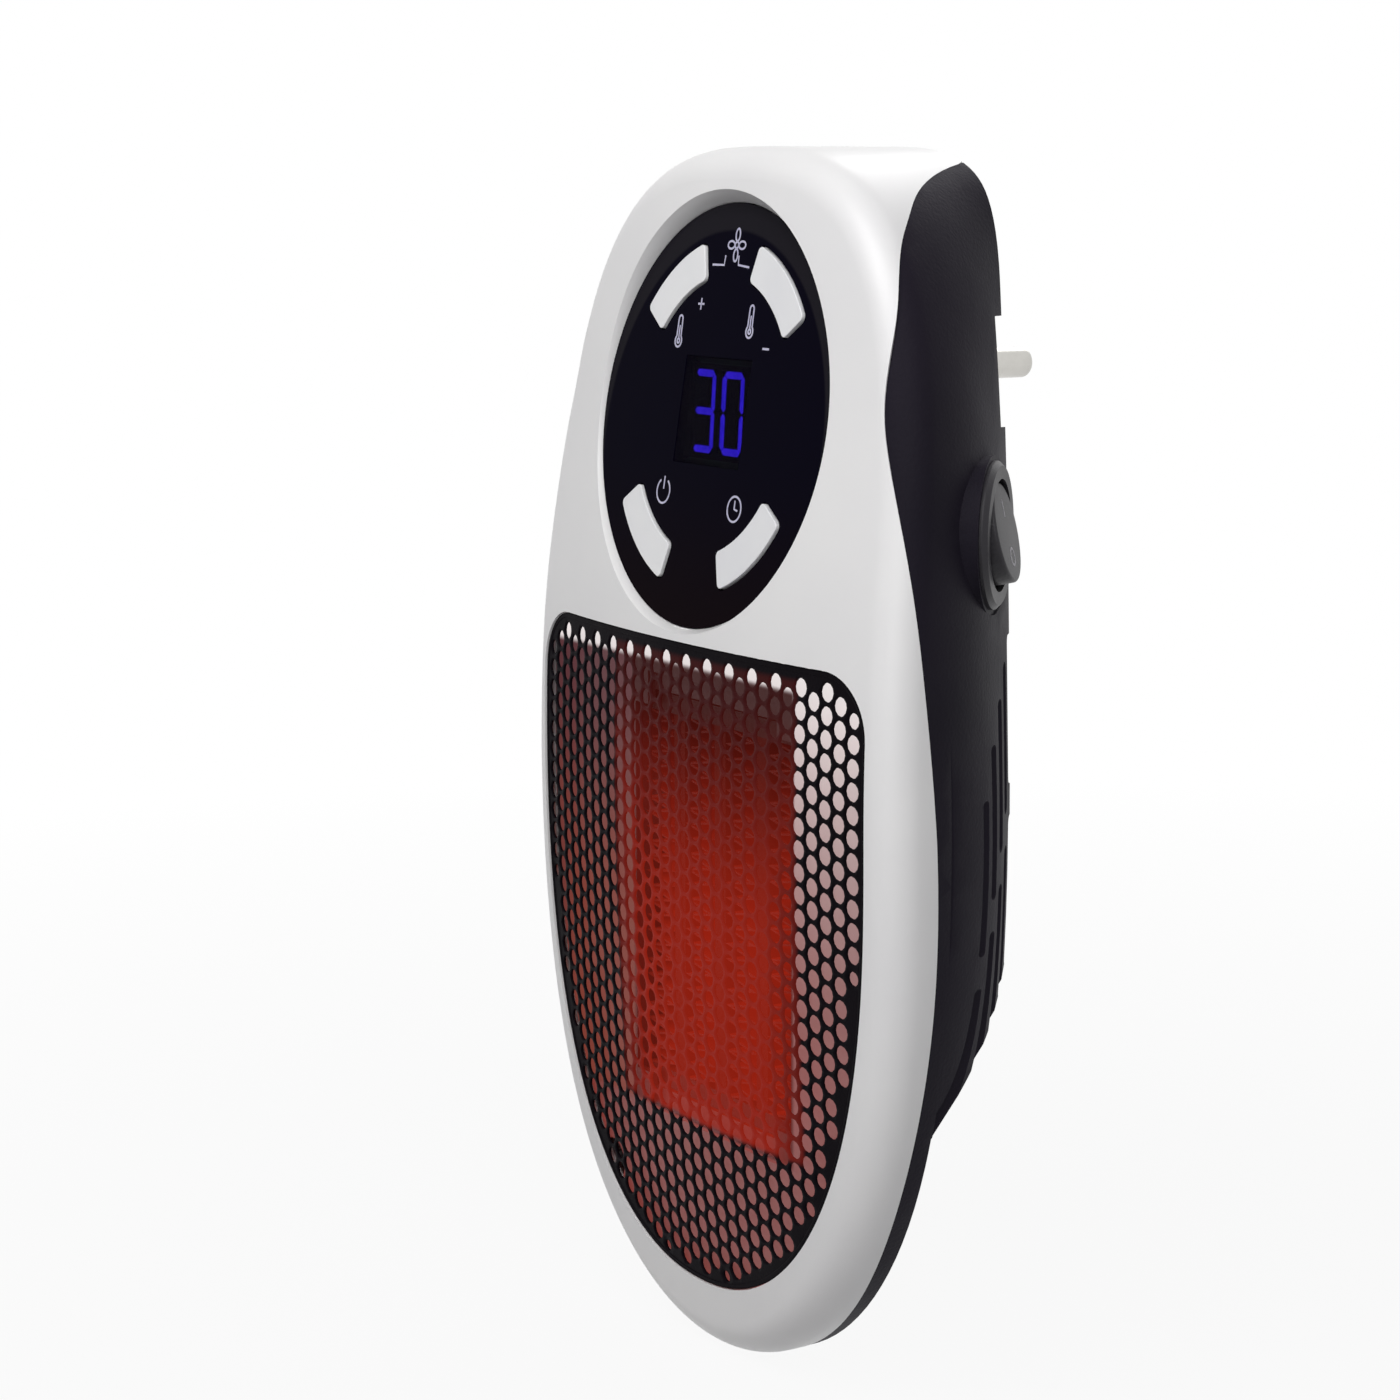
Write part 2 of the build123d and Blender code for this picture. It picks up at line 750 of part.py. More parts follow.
key_angles = {
    "key_temp_down": upper_key_angles,
    "key_timer": lower_key_angles,
    "key_power": (-lower_key_angles[1], -lower_key_angles[0]),
    "key_temp_up": (-upper_key_angles[1], -upper_key_angles[0]),
}
control_panel = along_z(0, 0, panel_radius, -panel_thickness, 0)
post_ring = post_ring_share * panel_radius
post_spots = [ring_point(post_ring, angle) for angle in (0, 90, 180, 270)]
for x, y in post_spots:
    control_panel += along_z(x, y, post_radius, board_front, -panel_thickness)
window = block(-window_x, window_x, window_rise - window_z, window_rise + window_z, -overrun, overrun)
control_panel -= window
for x, y in post_spots:
    control_panel -= along_z(x, y, small_screw_radius + screw_fit, board_front, -panel_thickness)
for first, last in key_angles.values():
    opening = grown_sector(first, last, key_clearance, key_corner + key_clearance)
    control_panel -= Pos(0, 0, -panel_thickness) * extrude(opening, amount=panel_thickness)
    relief = grown_sector(first, last, key_lip + key_clearance, key_corner + key_lip)
    control_panel -= Pos(0, 0, board_front) * extrude(relief, amount=board_depth - panel_thickness)

nodes = {}
key_middle = (key_inner + key_outer) / 2
key_spots = []
for name, (first, last) in key_angles.items():
    cap = extrude(grown_sector(first, last, 0, key_corner), amount=key_proud - lip_front)
    lip = extrude(grown_sector(first, last, key_lip, key_corner + key_lip), amount=key_lip_thickness)
    key = Pos(0, 0, lip_front) * cap + Pos(0, 0, lip_back) * lip
    nodes[name] = panel_place * key
    x, y = ring_point(key_middle, (first + last) / 2)
    key_spots.append((x, y))
    plunger = along_z(x, y, plunger_radius, tact_top - plunger_entry, lip_back)
    nodes[name.replace("key", "plunger")] = panel_place * plunger

lens_x = window_x - lens_fit
lens_low = window_rise - window_z + lens_fit
lens_high = window_rise + window_z - lens_fit
lens = block(-lens_x, lens_x, lens_low, lens_high, -panel_thickness, -lens_fit)
rim_x = window_x + lens_rim
rim_low = window_rise - window_z - lens_rim
rim_high = window_rise + window_z + lens_rim
rim_back = -panel_thickness - lens_rim_thickness
lens += block(-rim_x, rim_x, rim_low, rim_high, rim_back, -panel_thickness)
hollow_x = lens_x - lens_wall
lens -= block(-hollow_x, hollow_x, lens_low + lens_wall, lens_high - lens_wall, rim_back, -lens_plate)
display_top = -lens_plate - display_gap
display_x = hollow_x - display_gap
display_low = lens_low + lens_wall + display_gap
display_high = lens_high - lens_wall - display_gap
display = block(-display_x, display_x, display_low, display_high, board_front, display_top)


def leaning_bar(left, right, low, high):
    """Flat four-sided outline that leans as the digits do."""
    corners = [(left, low), (right, low), (right, high), (left, high)]
    return make_face(Polyline(*[(x + digit_slant * y, y) for x, y in corners], close=True))


for side in (-1, 1):
    digit = leaning_bar(0, digit_width, -digit_height / 2, digit_height / 2)
    for end in (-1, 1):
        near, far = end * digit_stroke / 2, end * (digit_height / 2 - digit_stroke)
        digit -= leaning_bar(digit_stroke, digit_width - digit_stroke, min(near, far), max(near, far))
    start_x = digit_gap / 2 if side > 0 else -digit_gap / 2 - digit_width
    display -= Pos(start_x, window_rise, display_top) * extrude(digit, amount=-digit_depth)

control_board = along_z(0, 0, board_radius, board_back, board_front)
tacts = []
for x, y in key_spots:
    tact = Pos(x, y, board_front) * Box(tact_side, tact_side, tact_height, align=base_align)
    recess = plunger_radius + plunger_clearance
    tact -= along_z(x, y, recess, tact_top - plunger_entry - 2 * key_travel, tact_top)
    tacts.append(panel_place * tact)
board_screws = []
for x, y in post_spots:
    control_board -= along_z(x, y, small_screw_radius + screw_clearance, board_back, board_front)
    small = screw(small_screw_radius, small_screw_length, small_screw_head_radius, small_screw_head)
    board_screws.append(panel_place * Pos(x, y, board_back) * Rot(180, 0, 0) * small)
chip = Pos(0, -chip_fall, board_front) * Box(chip_width, chip_height, chip_thickness, align=base_align)
nodes["control_panel"] = biggest(panel_place * control_panel - rear_wall_space)
nodes["display_lens"] = panel_place * lens
nodes["display_module"] = panel_place * display
nodes["control_board"] = panel_place * control_board
nodes["control_chip"] = panel_place * chip
nodes["tact_switches"] = Compound(children=tacts)
nodes["board_screws"] = Compound(children=board_screws)

# Heater frame: plate behind the grille, tube round the element, held inside the housing
frame_y = -frame_front
plate_back = frame_y + frame_plate
element_middle = drop((window_top_drop + window_bottom_drop) / 2)
window_top = drop(window_top_drop)
window_bottom = drop(window_bottom_drop)
element_top = element_middle + element_height / 2
element_bottom = element_middle - element_height / 2
element_front = plate_back + element_gap
element_back = element_front + element_depth
tube_back = element_back + element_gap
tube_x = window_half_width + frame_tube_wall
frame = block(-half_width, half_width, frame_y, plate_back, bottom_z, drop(frame_top_drop))
frame += block(
    -tube_x, tube_x, plate_back, tube_back, window_bottom - frame_tube_wall, window_top + frame_tube_wall
)
frame -= block(-window_half_width, window_half_width, frame_y, plate_back, window_bottom, window_top)
frame -= block(
    -window_half_width, window_half_width, plate_back, tube_back,
    element_bottom - element_gap, element_top + element_gap,
)
for side_x in (-1, 1):
    for edge_z, side_z in ((element_top, 1), (element_bottom, -1)):
        near = side_x * (window_half_width - frame_tab)
        far = side_x * window_half_width
        low = edge_z - side_z * frame_tab / 2
        high = edge_z + side_z * (window_top - element_top)
        tab = block(min(near, far), max(near, far), frame_y, plate_back, min(low, high), max(low, high))
        frame += tab
frame = frame & fitted
frame_cuts = []
for x, down, face, split in shell_screw_places:
    for side in (-1, 1):
        boss = boss_radius + frame_clearance
        frame_cuts.append(along_y(side * x, drop(down), boss, frame_y - overrun, plate_back + overrun))
frame_cuts.append(panel_place * along_z(0, 0, seat_radius + frame_clearance, -overrun, overrun))
nodes["heater_frame"] = biggest(frame - frame_cuts)

# Heating element: upright bars with folded fins between them, held by two rails
rails = []
for low in (element_bottom, element_top - rail_height):
    rails.append(
        block(-element_half_width, element_half_width, element_front, element_back, low, low + rail_height)
    )
bar_low = element_bottom + rail_height
bar_high = element_top - rail_height
bank_width = (2 * element_half_width - bar_count * bar_thickness) / (bar_count + 1)
bars = []
banks = []
fold_count = 2 * int((bar_high - bar_low) / fin_pitch)
fold_rise = (bar_high - bar_low) / fold_count
for place in range(bar_count + 1):
    left = -element_half_width + place * (bank_width + bar_thickness)
    right = left + bank_width
    if place < bar_count:
        bars.append(block(right, right + bar_thickness, element_front, element_back, bar_low, bar_high))
    slant = fin_thickness * math.hypot(1.0, bank_width / fold_rise)
    line = []
    for fold in range(fold_count + 1):
        line.append((right - slant if fold % 2 else left, bar_low + fold * fold_rise))
    points = [(x, element_front, z) for x, z in line]
    points += [(x + slant, element_front, z) for x, z in reversed(line)]
    ribbon = Face(Wire.make_polygon(points, close=True))
    banks.append(extrude(ribbon, amount=element_depth, dir=(0, 1, 0)))
nodes["ptc_rails"] = Compound(children=rails)
nodes["ptc_bars"] = Compound(children=bars)
nodes["ptc_fins"] = Compound(children=banks)

tube_top = window_top + frame_tube_wall
cutout_y = (element_front + element_back) / 2
cutout_z = tube_top + cutout_bracket + cutout_radius
cutout = Pos(0, cutout_y, cutout_z) * Rot(0, 90, 0) * Cylinder(cutout_radius, cutout_length)
foot_y = cutout_radius * cutout_foot_share
foot_x = cutout_length / 2
cutout += block(-foot_x, foot_x, cutout_y - foot_y, cutout_y + foot_y, tube_top, cutout_z)
nodes["thermal_cutout"] = cutout

# Fan
half_side = fan_side / 2
fan_body = block(-half_side, half_side, fan_front, fan_rear, fan_z - half_side, fan_z + half_side)
fan_body = fillet(fan_body.edges().filter_by(Axis.Y), fan_corner)
fan_body -= along_y(0, fan_z, fan_bore_radius, fan_front, fan_rear)
strut_front = fan_rear - strut_depth
fan_body += along_y(0, fan_z, motor_radius, strut_front, fan_rear)
for turn_angle in (90, 210, 330):
    strut_end = fan_bore_radius + fan_rim_inset
    strut = block(0, strut_end, strut_front, fan_rear, -strut_width / 2, strut_width / 2)
    fan_body += Pos(0, 0, fan_z) * Rot(0, turn_angle, 0) * strut
fan_cuts = []
for x, z in fan_spots:
    fan_cuts.append(along_y(x, z, fan_screw_radius + screw_clearance, fan_front, fan_rear))
    fan_cuts.append(along_y(x, z, fan_screw_head_radius + screw_clearance, fan_front, fan_head_back))
fan_body -= fan_cuts
nodes["fan_frame"] = fan_body

rotor_front = fan_front + running_gap
rotor_back = rotor_front + hub_depth
shaft_back = strut_front - running_gap
cup_wall = hub_radius - motor_radius - running_gap
cup_back = rotor_front + cup_wall
rotor = along_y(0, fan_z, hub_radius, rotor_front, rotor_back)
rotor -= along_y(0, fan_z, motor_radius + running_gap, cup_back, rotor_back)
rotor += along_y(0, fan_z, shaft_radius, cup_back, shaft_back)
blade_root = hub_radius - cup_wall / 2
blade_middle = (rotor_front + rotor_back) / 2
blade_reach = blade_tip_radius - blade_root
blade = Box(blade_reach, blade_thickness, blade_chord, align=(Align.MIN, Align.CENTER, Align.CENTER))
for count in range(blade_count):
    placed = Pos(blade_root, 0, 0) * Rot(blade_twist, 0, 0) * blade
    rotor += Pos(0, blade_middle, fan_z) * Rot(0, 360 * count / blade_count, 0) * placed
nodes["fan_rotor"] = rotor
motor = along_y(0, fan_z, motor_radius, cup_back + running_gap, strut_front)
motor -= along_y(0, fan_z, shaft_radius + shaft_clearance, cup_back + running_gap, strut_front)
nodes["fan_motor"] = motor
fan_screws = []
for x, z in fan_spots:
    long_screw = screw(fan_screw_radius, fan_screw_length, fan_screw_head_radius, fan_screw_head)
    fan_screws.append(Pos(x, fan_head_back, z) * Rot(90, 0, 0) * long_screw)
nodes["fan_screws"] = Compound(children=fan_screws)

# Plug with its pins and contacts, and the ring that holds it in the rear shell
plug = along_y(0, 0, plug_radius, -plug_depth, 0)
plug = fillet(plug.edges().sort_by(Axis.Y)[-1], plug_edge)
plug += along_y(0, 0, flange_radius, flange_front, flange_back)
stop_outer = flange_radius + stop_reach
stop = block(-stop_width / 2, stop_width / 2, flange_front, flange_back, plug_radius, stop_outer)
plug += stop & along_y(0, 0, stop_outer, flange_front, flange_back)
plug -= along_y(0, 0, plug_radius - plug_wall, -plug_depth, -pin_root)
pins = []
contacts = []
for side in (-1, 1):
    x = side * pin_spacing / 2
    plug -= along_y(x, 0, pin_neck_radius + pin_fit, -pin_root, 0)
    plug -= along_y(x, 0, pin_radius + running_clearance, -pin_recess, 0)
    pin = along_y(x, 0, pin_radius, pin_neck, pin_length)
    pin = fillet(pin.edges().sort_by(Axis.Y)[-1], pin_tip)
    pins.append(pin + along_y(x, 0, pin_neck_radius, -pin_root, pin_neck))
    half_contact = contact_width / 2
    contact = block(
        x - half_contact, x + half_contact, -pin_root - contact_thickness, -pin_root,
        -half_contact, half_contact,
    )
    leg_low = half_contact - contact_thickness
    contact += block(
        x - half_contact, x + half_contact, -pin_root - contact_length, -pin_root, leg_low, half_contact
    )
    contacts.append(contact)
nodes["plug_body"] = plug
nodes["plug_pins"] = Compound(children=pins)
nodes["plug_contacts"] = Compound(children=contacts)
retainer = along_y(0, 0, retainer_radius, retainer_front, collar_front)
retainer -= along_y(0, 0, bore_radius, retainer_front, collar_front)
retainer_screws = []
for x, z in retainer_spots:
    retainer -= along_y(x, z, small_screw_radius + screw_clearance, retainer_front, collar_front)
    small = screw(small_screw_radius, small_screw_length, small_screw_head_radius, small_screw_head)
    retainer_screws.append(Pos(x, retainer_front, z) * Rot(90, 0, 0) * small)
nodes["swivel_retainer"] = retainer
nodes["retainer_screws"] = Compound(children=retainer_screws)

# Rocker switch: body with a round well, rocker on its two pins, and blade terminals
body = along_z(0, 0, bezel_radius, 0, bezel_height)
body = chamfer(body.edges().sort_by(Axis.Z)[-1], bezel_chamfer)
body += along_z(0, 0, switch_barrel_radius, -switch_barrel_depth, 0)
body -= along_z(0, 0, well_radius, -well_depth, bezel_height)
pin_hole = rocker_pin_radius + running_clearance
hole_reach = rocker_pin_reach + running_clearance
body -= Pos(0, 0, -rocker_pivot_depth) * Rot(0, 90, 0) * Cylinder(pin_hole, 2 * hole_reach)
nodes["switch_body"] = switch_place * body
rocker = along_z(0, 0, rocker_radius, -rocker_skirt, rocker_rise)
rocker = fillet(rocker.edges().sort_by(Axis.Z)[-1], rocker_edge)
rocker += Pos(0, 0, -rocker_pivot_depth) * Rot(0, 90, 0) * Cylinder(rocker_pin_radius, 2 * rocker_pin_reach)
pivot = Pos(0, 0, -rocker_pivot_depth)
rocker = pivot * Rot(-rocker_tilt, 0, 0) * pivot.inverse() * rocker
nodes["rocker"] = switch_place * rocker
tabs = []
for side in (-1, 1):
    y = side * tab_pitch / 2
    tab = block(
        -tab_width / 2, tab_width / 2, y - tab_thickness / 2, y + tab_thickness / 2,
        -switch_barrel_depth - tab_length, -switch_barrel_depth,
    )
    tabs.append(switch_place * tab)
nodes["switch_terminals"] = Compound(children=tabs)

# Power board and its components
power_board = block(
    -power_left, power_right, power_board_front, power_board_back,
    drop(power_bottom_drop), drop(power_top_drop),
)
power_screws = []
for x, down in power_posts:
    z = drop(down)
    power_board -= along_y(x, z, small_screw_radius + screw_clearance, power_board_front, power_board_back)
    small = screw(small_screw_radius, small_screw_length, small_screw_head_radius, small_screw_head)
    power_screws.append(Pos(x, power_board_front, z) * Rot(90, 0, 0) * small)
nodes["power_board"] = power_board
nodes["power_board_screws"] = Compound(children=power_screws)


def on_board(place, size):
    """Box of a size that stands on the power board's rear face."""
    x, down = place
    across, deep, tall = size
    z = drop(down)
    rear = power_board_back + deep
    return block(x - across / 2, x + across / 2, power_board_back, rear, z - tall / 2, z + tall / 2)


nodes["relay"] = on_board(relay_place, relay_size)
nodes["transformer"] = on_board(transformer_place, transformer_size)
cores = []
for side in (-1, 1):
    fall = side * (transformer_size[2] + core_size[2]) / 2
    cores.append(on_board((transformer_place[0], transformer_place[1] + fall), core_size))
nodes["transformer_core"] = Compound(children=cores)
cans = []
for x, down in capacitor_places:
    can = along_y(x, drop(down), capacitor_radius, power_board_back, power_board_back + capacitor_length)
    cans.append(fillet(can.edges().sort_by(Axis.Y)[-1], capacitor_edge))
nodes["capacitors"] = Compound(children=cans)
terminal = on_board(terminal_place, terminal_size)
for spot in range(terminal_count):
    pitch = terminal_size[2] / terminal_count
    z = drop(terminal_place[1]) + (spot - (terminal_count - 1) / 2) * pitch
    rear = power_board_back + terminal_size[1]
    terminal -= along_y(terminal_place[0], z, terminal_hole_radius, rear - terminal_hole_depth, rear)
nodes["terminal_block"] = terminal

# Screws that hold the shells together
housing_screws = []
for x, down, face, split in shell_screw_places:
    for side in (-1, 1):
        long_screw = screw(
            shell_screw_radius, shell_screw_length, shell_screw_head_radius, shell_screw_head
        )
        seat = -face - shell_screw_head
        housing_screws.append(Pos(side * x, seat, drop(down)) * Rot(-90, 0, 0) * long_screw)
nodes["housing_screws"] = Compound(children=housing_screws)

nodes["front_shell"] = front_shell
nodes["rear_shell"] = rear_shell
nodes["grille"] = grille

os.makedirs("parts", exist_ok=True)
for name, shape in nodes.items():
    export_step(shape, f"parts/{name}.step")
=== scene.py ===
import math
import bmesh
import bpy
import numpy as np
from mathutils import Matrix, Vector


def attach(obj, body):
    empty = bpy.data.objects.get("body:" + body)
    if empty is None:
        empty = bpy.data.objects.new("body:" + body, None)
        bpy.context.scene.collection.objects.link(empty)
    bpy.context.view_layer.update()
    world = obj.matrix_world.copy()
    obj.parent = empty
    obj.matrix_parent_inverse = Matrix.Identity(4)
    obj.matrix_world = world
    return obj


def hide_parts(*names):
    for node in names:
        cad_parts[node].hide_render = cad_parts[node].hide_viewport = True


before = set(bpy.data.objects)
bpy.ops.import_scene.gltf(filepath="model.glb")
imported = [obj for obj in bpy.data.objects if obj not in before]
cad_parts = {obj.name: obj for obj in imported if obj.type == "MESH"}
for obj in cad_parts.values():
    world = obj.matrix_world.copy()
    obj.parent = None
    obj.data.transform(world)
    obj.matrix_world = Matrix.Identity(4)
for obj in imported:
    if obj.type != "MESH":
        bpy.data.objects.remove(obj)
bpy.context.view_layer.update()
mm = 0.001

# Camera: near the height of the heater's top, to the right of its front, looking a little down
cameraFacts = {"place": (426.0, -292.0, 29.5), "turn": 57.48, "down": 7.68, "sensor": 36.0, "lens": 84.515,
               "shiftX": -0.0592, "shiftY": -0.06}


def makeCamera(facts):
    data = bpy.data.cameras.new("camera")
    data.sensor_width = facts["sensor"]
    data.lens = facts["lens"]
    data.shift_x = facts["shiftX"]
    data.shift_y = facts["shiftY"]
    data.clip_start = 0.01
    camera = bpy.data.objects.new("camera", data)
    camera.location = [value * mm for value in facts["place"]]
    camera.rotation_euler = (math.radians(90.0 - facts["down"]), 0.0, math.radians(facts["turn"]))
    bpy.context.scene.collection.objects.link(camera)
    bpy.context.scene.camera = camera


makeCamera(cameraFacts)
print("camera made")

# The housing's own sizes in millimetres, as the frame has them
housing = {
    "top": 33.5, "height": 187.0, "depth": 39.2, "rearY": -1.5, "halfWidth": 53.0,
    "widestDrop": 98.0, "crownTaper": 0.06, "crownZ": 4.2, "crownX": 2.8, "baseZ": 2.6, "baseX": 2.0,
    "drawDepth": 28.0, "drawShare": 0.36, "drawPower": 1.8, "drawFade": 7.0,
    "archRadius": 300.0, "rimRound": 6.0,
    "front": ((-0.06, 0.665), (0.0, 0.709), (0.075, 0.776), (0.214, 0.872), (0.385, 0.978),
              (0.524, 1.0), (0.668, 0.985), (0.802, 0.954), (0.92, 0.905), (1.0, 0.852), (1.06, 0.81)),
    "seam": ((0.0105, -0.1), (0.0128, -0.013), (0.016, 0.077), (0.026, 0.258), (0.041, 0.408),
             (0.058, 0.51), (0.075, 0.592), (0.118, 0.681), (0.16, 0.74), (0.246, 0.788),
             (0.332, 0.765), (0.503, 0.689), (0.674, 0.676), (0.845, 0.699), (1.0, 0.65), (1.06, 0.62)),
}
frontY = housing["rearY"] - housing["depth"]
widestZ = housing["top"] - housing["widestDrop"]


def smoothLine(points, count=800):
    # a natural cubic spline through the points over the distance along them, sampled finely
    points = np.array(points, dtype=float)
    along = np.concatenate(([0.0], np.cumsum(np.linalg.norm(np.diff(points, axis=0), axis=1))))
    gap = np.diff(along)
    size = len(points)
    matrix = np.eye(size)
    right = np.zeros_like(points)
    inner = np.arange(1, size - 1)
    matrix[inner, inner - 1] = gap[:-1]
    matrix[inner, inner] = 2 * (gap[:-1] + gap[1:])
    matrix[inner, inner + 1] = gap[1:]
    slopes = np.diff(points, axis=0) / gap[:, None]
    right[1:-1] = 6 * np.diff(slopes, axis=0)
    bend = np.linalg.solve(matrix, right)
    at = np.linspace(0.0, along[-1], count)
    k = np.clip(np.searchsorted(along, at, side="right") - 1, 0, size - 2)
    a = ((along[k + 1] - at) / gap[k])[:, None]
    b = 1.0 - a
    curve = a * points[k] + b * points[k + 1]
    return curve + ((a ** 3 - a) * bend[k] + (b ** 3 - b) * bend[k + 1]) * (gap[k] ** 2)[:, None] / 6


def housingLine(shares):
    # (share down, share forward) pairs as a line of (depth, height), lowest height first
    pairs = np.array(shares)
    line = np.column_stack((housing["rearY"] - pairs[:, 1] * housing["depth"],
                            housing["top"] - pairs[:, 0] * housing["height"]))
    return smoothLine(line)[::-1]


frontLine = housingLine(housing["front"])
seamLine = housingLine(housing["seam"])


def frontSurface(x, z):
    # depth of the front: its middle line turned about an upright axis archRadius behind the front
    axis = frontY + housing["archRadius"]
    reach = axis - np.interp(z, frontLine[:, 1], frontLine[:, 0])
    return axis - np.sqrt(reach ** 2 - x ** 2)


def outlineHalfWidth(z):
    # half the width at a height: one superellipse above the widest level and another below it
    up = np.clip((z - widestZ) / housing["widestDrop"], 0.0, 1.0)
    down = np.clip((widestZ - z) / (housing["height"] - housing["widestDrop"]), 0.0, 1.0)
    upper = (1 - housing["crownTaper"] * up) * (1 - up ** housing["crownZ"]) ** (1 / housing["crownX"])
    lower = (1 - down ** housing["baseZ"]) ** (1 / housing["baseX"])
    return housing["halfWidth"] * np.where(z >= widestZ, upper, lower)


def sideDraw(y, z):
    # share of the width left at a depth: the sides draw in towards the rear, but not at the very top
    up = np.clip((z - widestZ) / housing["widestDrop"], 0.0, 1.0)
    start = housing["rearY"] - housing["drawDepth"]
    share = np.clip((y - start) / housing["drawDepth"], 0.0, 1.0)
    return 1 - housing["drawShare"] * (1 - up ** housing["drawFade"]) * share ** housing["drawPower"]


def outlineLoop(count):
    # the outline seen from the front, clockwise from the top middle, at even distances
    angle = np.linspace(0.0, math.pi, 4001)
    rise = np.cos(angle)
    z = widestZ + np.where(rise > 0, housing["widestDrop"],
                           housing["height"] - housing["widestDrop"]) * rise
    x = outlineHalfWidth(z)
    x[0] = x[-1] = 0.0
    loop = np.concatenate((np.column_stack((x, z)), np.column_stack((-x, z))[-2:0:-1]))
    closed = np.vstack((loop, loop[:1]))
    along = np.concatenate(([0.0], np.cumsum(np.linalg.norm(np.diff(closed, axis=0), axis=1))))
    at = np.linspace(0.0, along[-1], count, endpoint=False)
    return np.column_stack((np.interp(at, along, closed[:, 0]), np.interp(at, along, closed[:, 1])))


def addPiece(name, points, faces, material, body, standsFor=(), smooth=True):
    # a mesh in millimetres, with its object at the origin, riding on a body
    mesh = bpy.data.meshes.new(name)
    mesh.from_pydata((np.asarray(points, dtype=float) * mm).tolist(), [], [list(f) for f in faces])
    mesh.update()
    piece = bpy.data.objects.new(name, mesh)
    bpy.context.scene.collection.objects.link(piece)
    mesh.materials.append(material)
    if smooth:
        mesh.shade_smooth()
    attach(piece, body)
    if standsFor:
        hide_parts(*standsFor)
    return piece


# Shared effects, each a node group that reads Object coordinates
def startGroup(name, inputs, result):
    # a group whose inputs are colours or numbers, by their first values, and whose result is one socket
    group = bpy.data.node_groups.new(name, "ShaderNodeTree")
    for label, value in inputs:
        kind = "NodeSocketFloat" if isinstance(value, float) else "NodeSocketColor"
        group.interface.new_socket(name=label, in_out="INPUT", socket_type=kind).default_value = value
    kind = {"Colour": "NodeSocketColor", "Roughness": "NodeSocketFloat",
            "Normal": "NodeSocketVector"}[result]
    group.interface.new_socket(name=result, in_out="OUTPUT", socket_type=kind)
    start, end = group.nodes.new("NodeGroupInput"), group.nodes.new("NodeGroupOutput")
    return group, start.outputs, end.inputs[result]


def objectPlace(group):
    return group.nodes.new("ShaderNodeTexCoord").outputs["Object"]


def objectAxes(group):
    split = group.nodes.new("ShaderNodeSeparateXYZ")
    group.links.new(objectPlace(group), split.inputs["Vector"])
    return split.outputs


def setOrLink(group, socket, value):
    # a node's input takes either a number or another node's output
    if isinstance(value, bpy.types.NodeSocket):
        group.links.new(value, socket)
    else:
        socket.default_value = value


def calculate(group, operation, *values):
    node = group.nodes.new("ShaderNodeMath")
    node.operation = operation
    for socket, value in zip(node.inputs, values):
        setOrLink(group, socket, value)
    return node.outputs[0]


def spreadOver(group, value, low, high, smooth=False, most=1.0):
    # 0 where the value is at low, up to most where it is at high
    spread = group.nodes.new("ShaderNodeMapRange")
    if smooth:
        spread.interpolation_type = "SMOOTHSTEP"
    for label, entry in (("Value", value), ("From Min", low), ("From Max", high), ("To Max", most)):
        setOrLink(group, spread.inputs[label], entry)
    return spread.outputs["Result"]


def blendShades(group, factor, first, second):
    mix = group.nodes.new("ShaderNodeMix")
    mix.data_type = "RGBA"
    for label, value in (("Factor", factor), ("A", first), ("B", second)):
        setOrLink(group, mix.inputs[label], value)
    return mix.outputs["Result"]


def objectNoise(group, scale, detail, stretch=None):
    place = objectPlace(group)
    if stretch:
        mapping = group.nodes.new("ShaderNodeMapping")
        mapping.inputs["Scale"].default_value = stretch
        group.links.new(place, mapping.inputs["Vector"])
        place = mapping.outputs["Vector"]
    noise = group.nodes.new("ShaderNodeTexNoise")
    noise.inputs["Detail"].default_value = detail
    group.links.new(place, noise.inputs["Vector"])
    setOrLink(group, noise.inputs["Scale"], scale)
    return noise.outputs["Fac"]


texture = {"mottleLow": 0.35, "mottleHigh": 0.65, "mottleDetail": 3.0, "handlingScale": 40.0,
           "handlingLow": 0.3,
           "handlingHigh": 0.7, "handlingDetail": 5.0, "grainDetail": 4.0, "grainDepth": 0.2}
black = (0.0, 0.0, 0.0, 1.0)


def makeMottle():
    # colour that drifts between two near shades in soft patches
    group, start, end = startGroup("mottle", (("Shade", black), ("Other shade", black),
                                              ("Scale", 60.0)), "Colour")
    noise = objectNoise(group, start["Scale"], texture["mottleDetail"])
    part = spreadOver(group, noise, texture["mottleLow"], texture["mottleHigh"])
    group.links.new(blendShades(group, part, start["Shade"], start["Other shade"]), end)
    return group


def makeHandling():
    # roughness that wanders a little, as on a surface that hands and cloths have touched
    group, start, end = startGroup("handling", (("Lowest", 0.3), ("Highest", 0.5)), "Roughness")
    noise = objectNoise(group, texture["handlingScale"], texture["handlingDetail"])
    rough = spreadOver(group, noise, texture["handlingLow"], texture["handlingHigh"], most=start["Highest"])
    group.links.new(start["Lowest"], rough.node.inputs["To Min"])
    group.links.new(rough, end)
    return group


def makeGrain(name, stretch):
    # fine relief of a moulded, coated or brushed skin
    group, start, end = startGroup(name, (("Scale", 1500.0), ("Depth", 0.1)), "Normal")
    bump = group.nodes.new("ShaderNodeBump")
    bump.inputs["Distance"].default_value = texture["grainDepth"] * mm
    group.links.new(objectNoise(group, start["Scale"], texture["grainDetail"], stretch),
                    bump.inputs["Height"])
    group.links.new(start["Depth"], bump.inputs["Strength"])
    group.links.new(bump.outputs["Normal"], end)
    return group


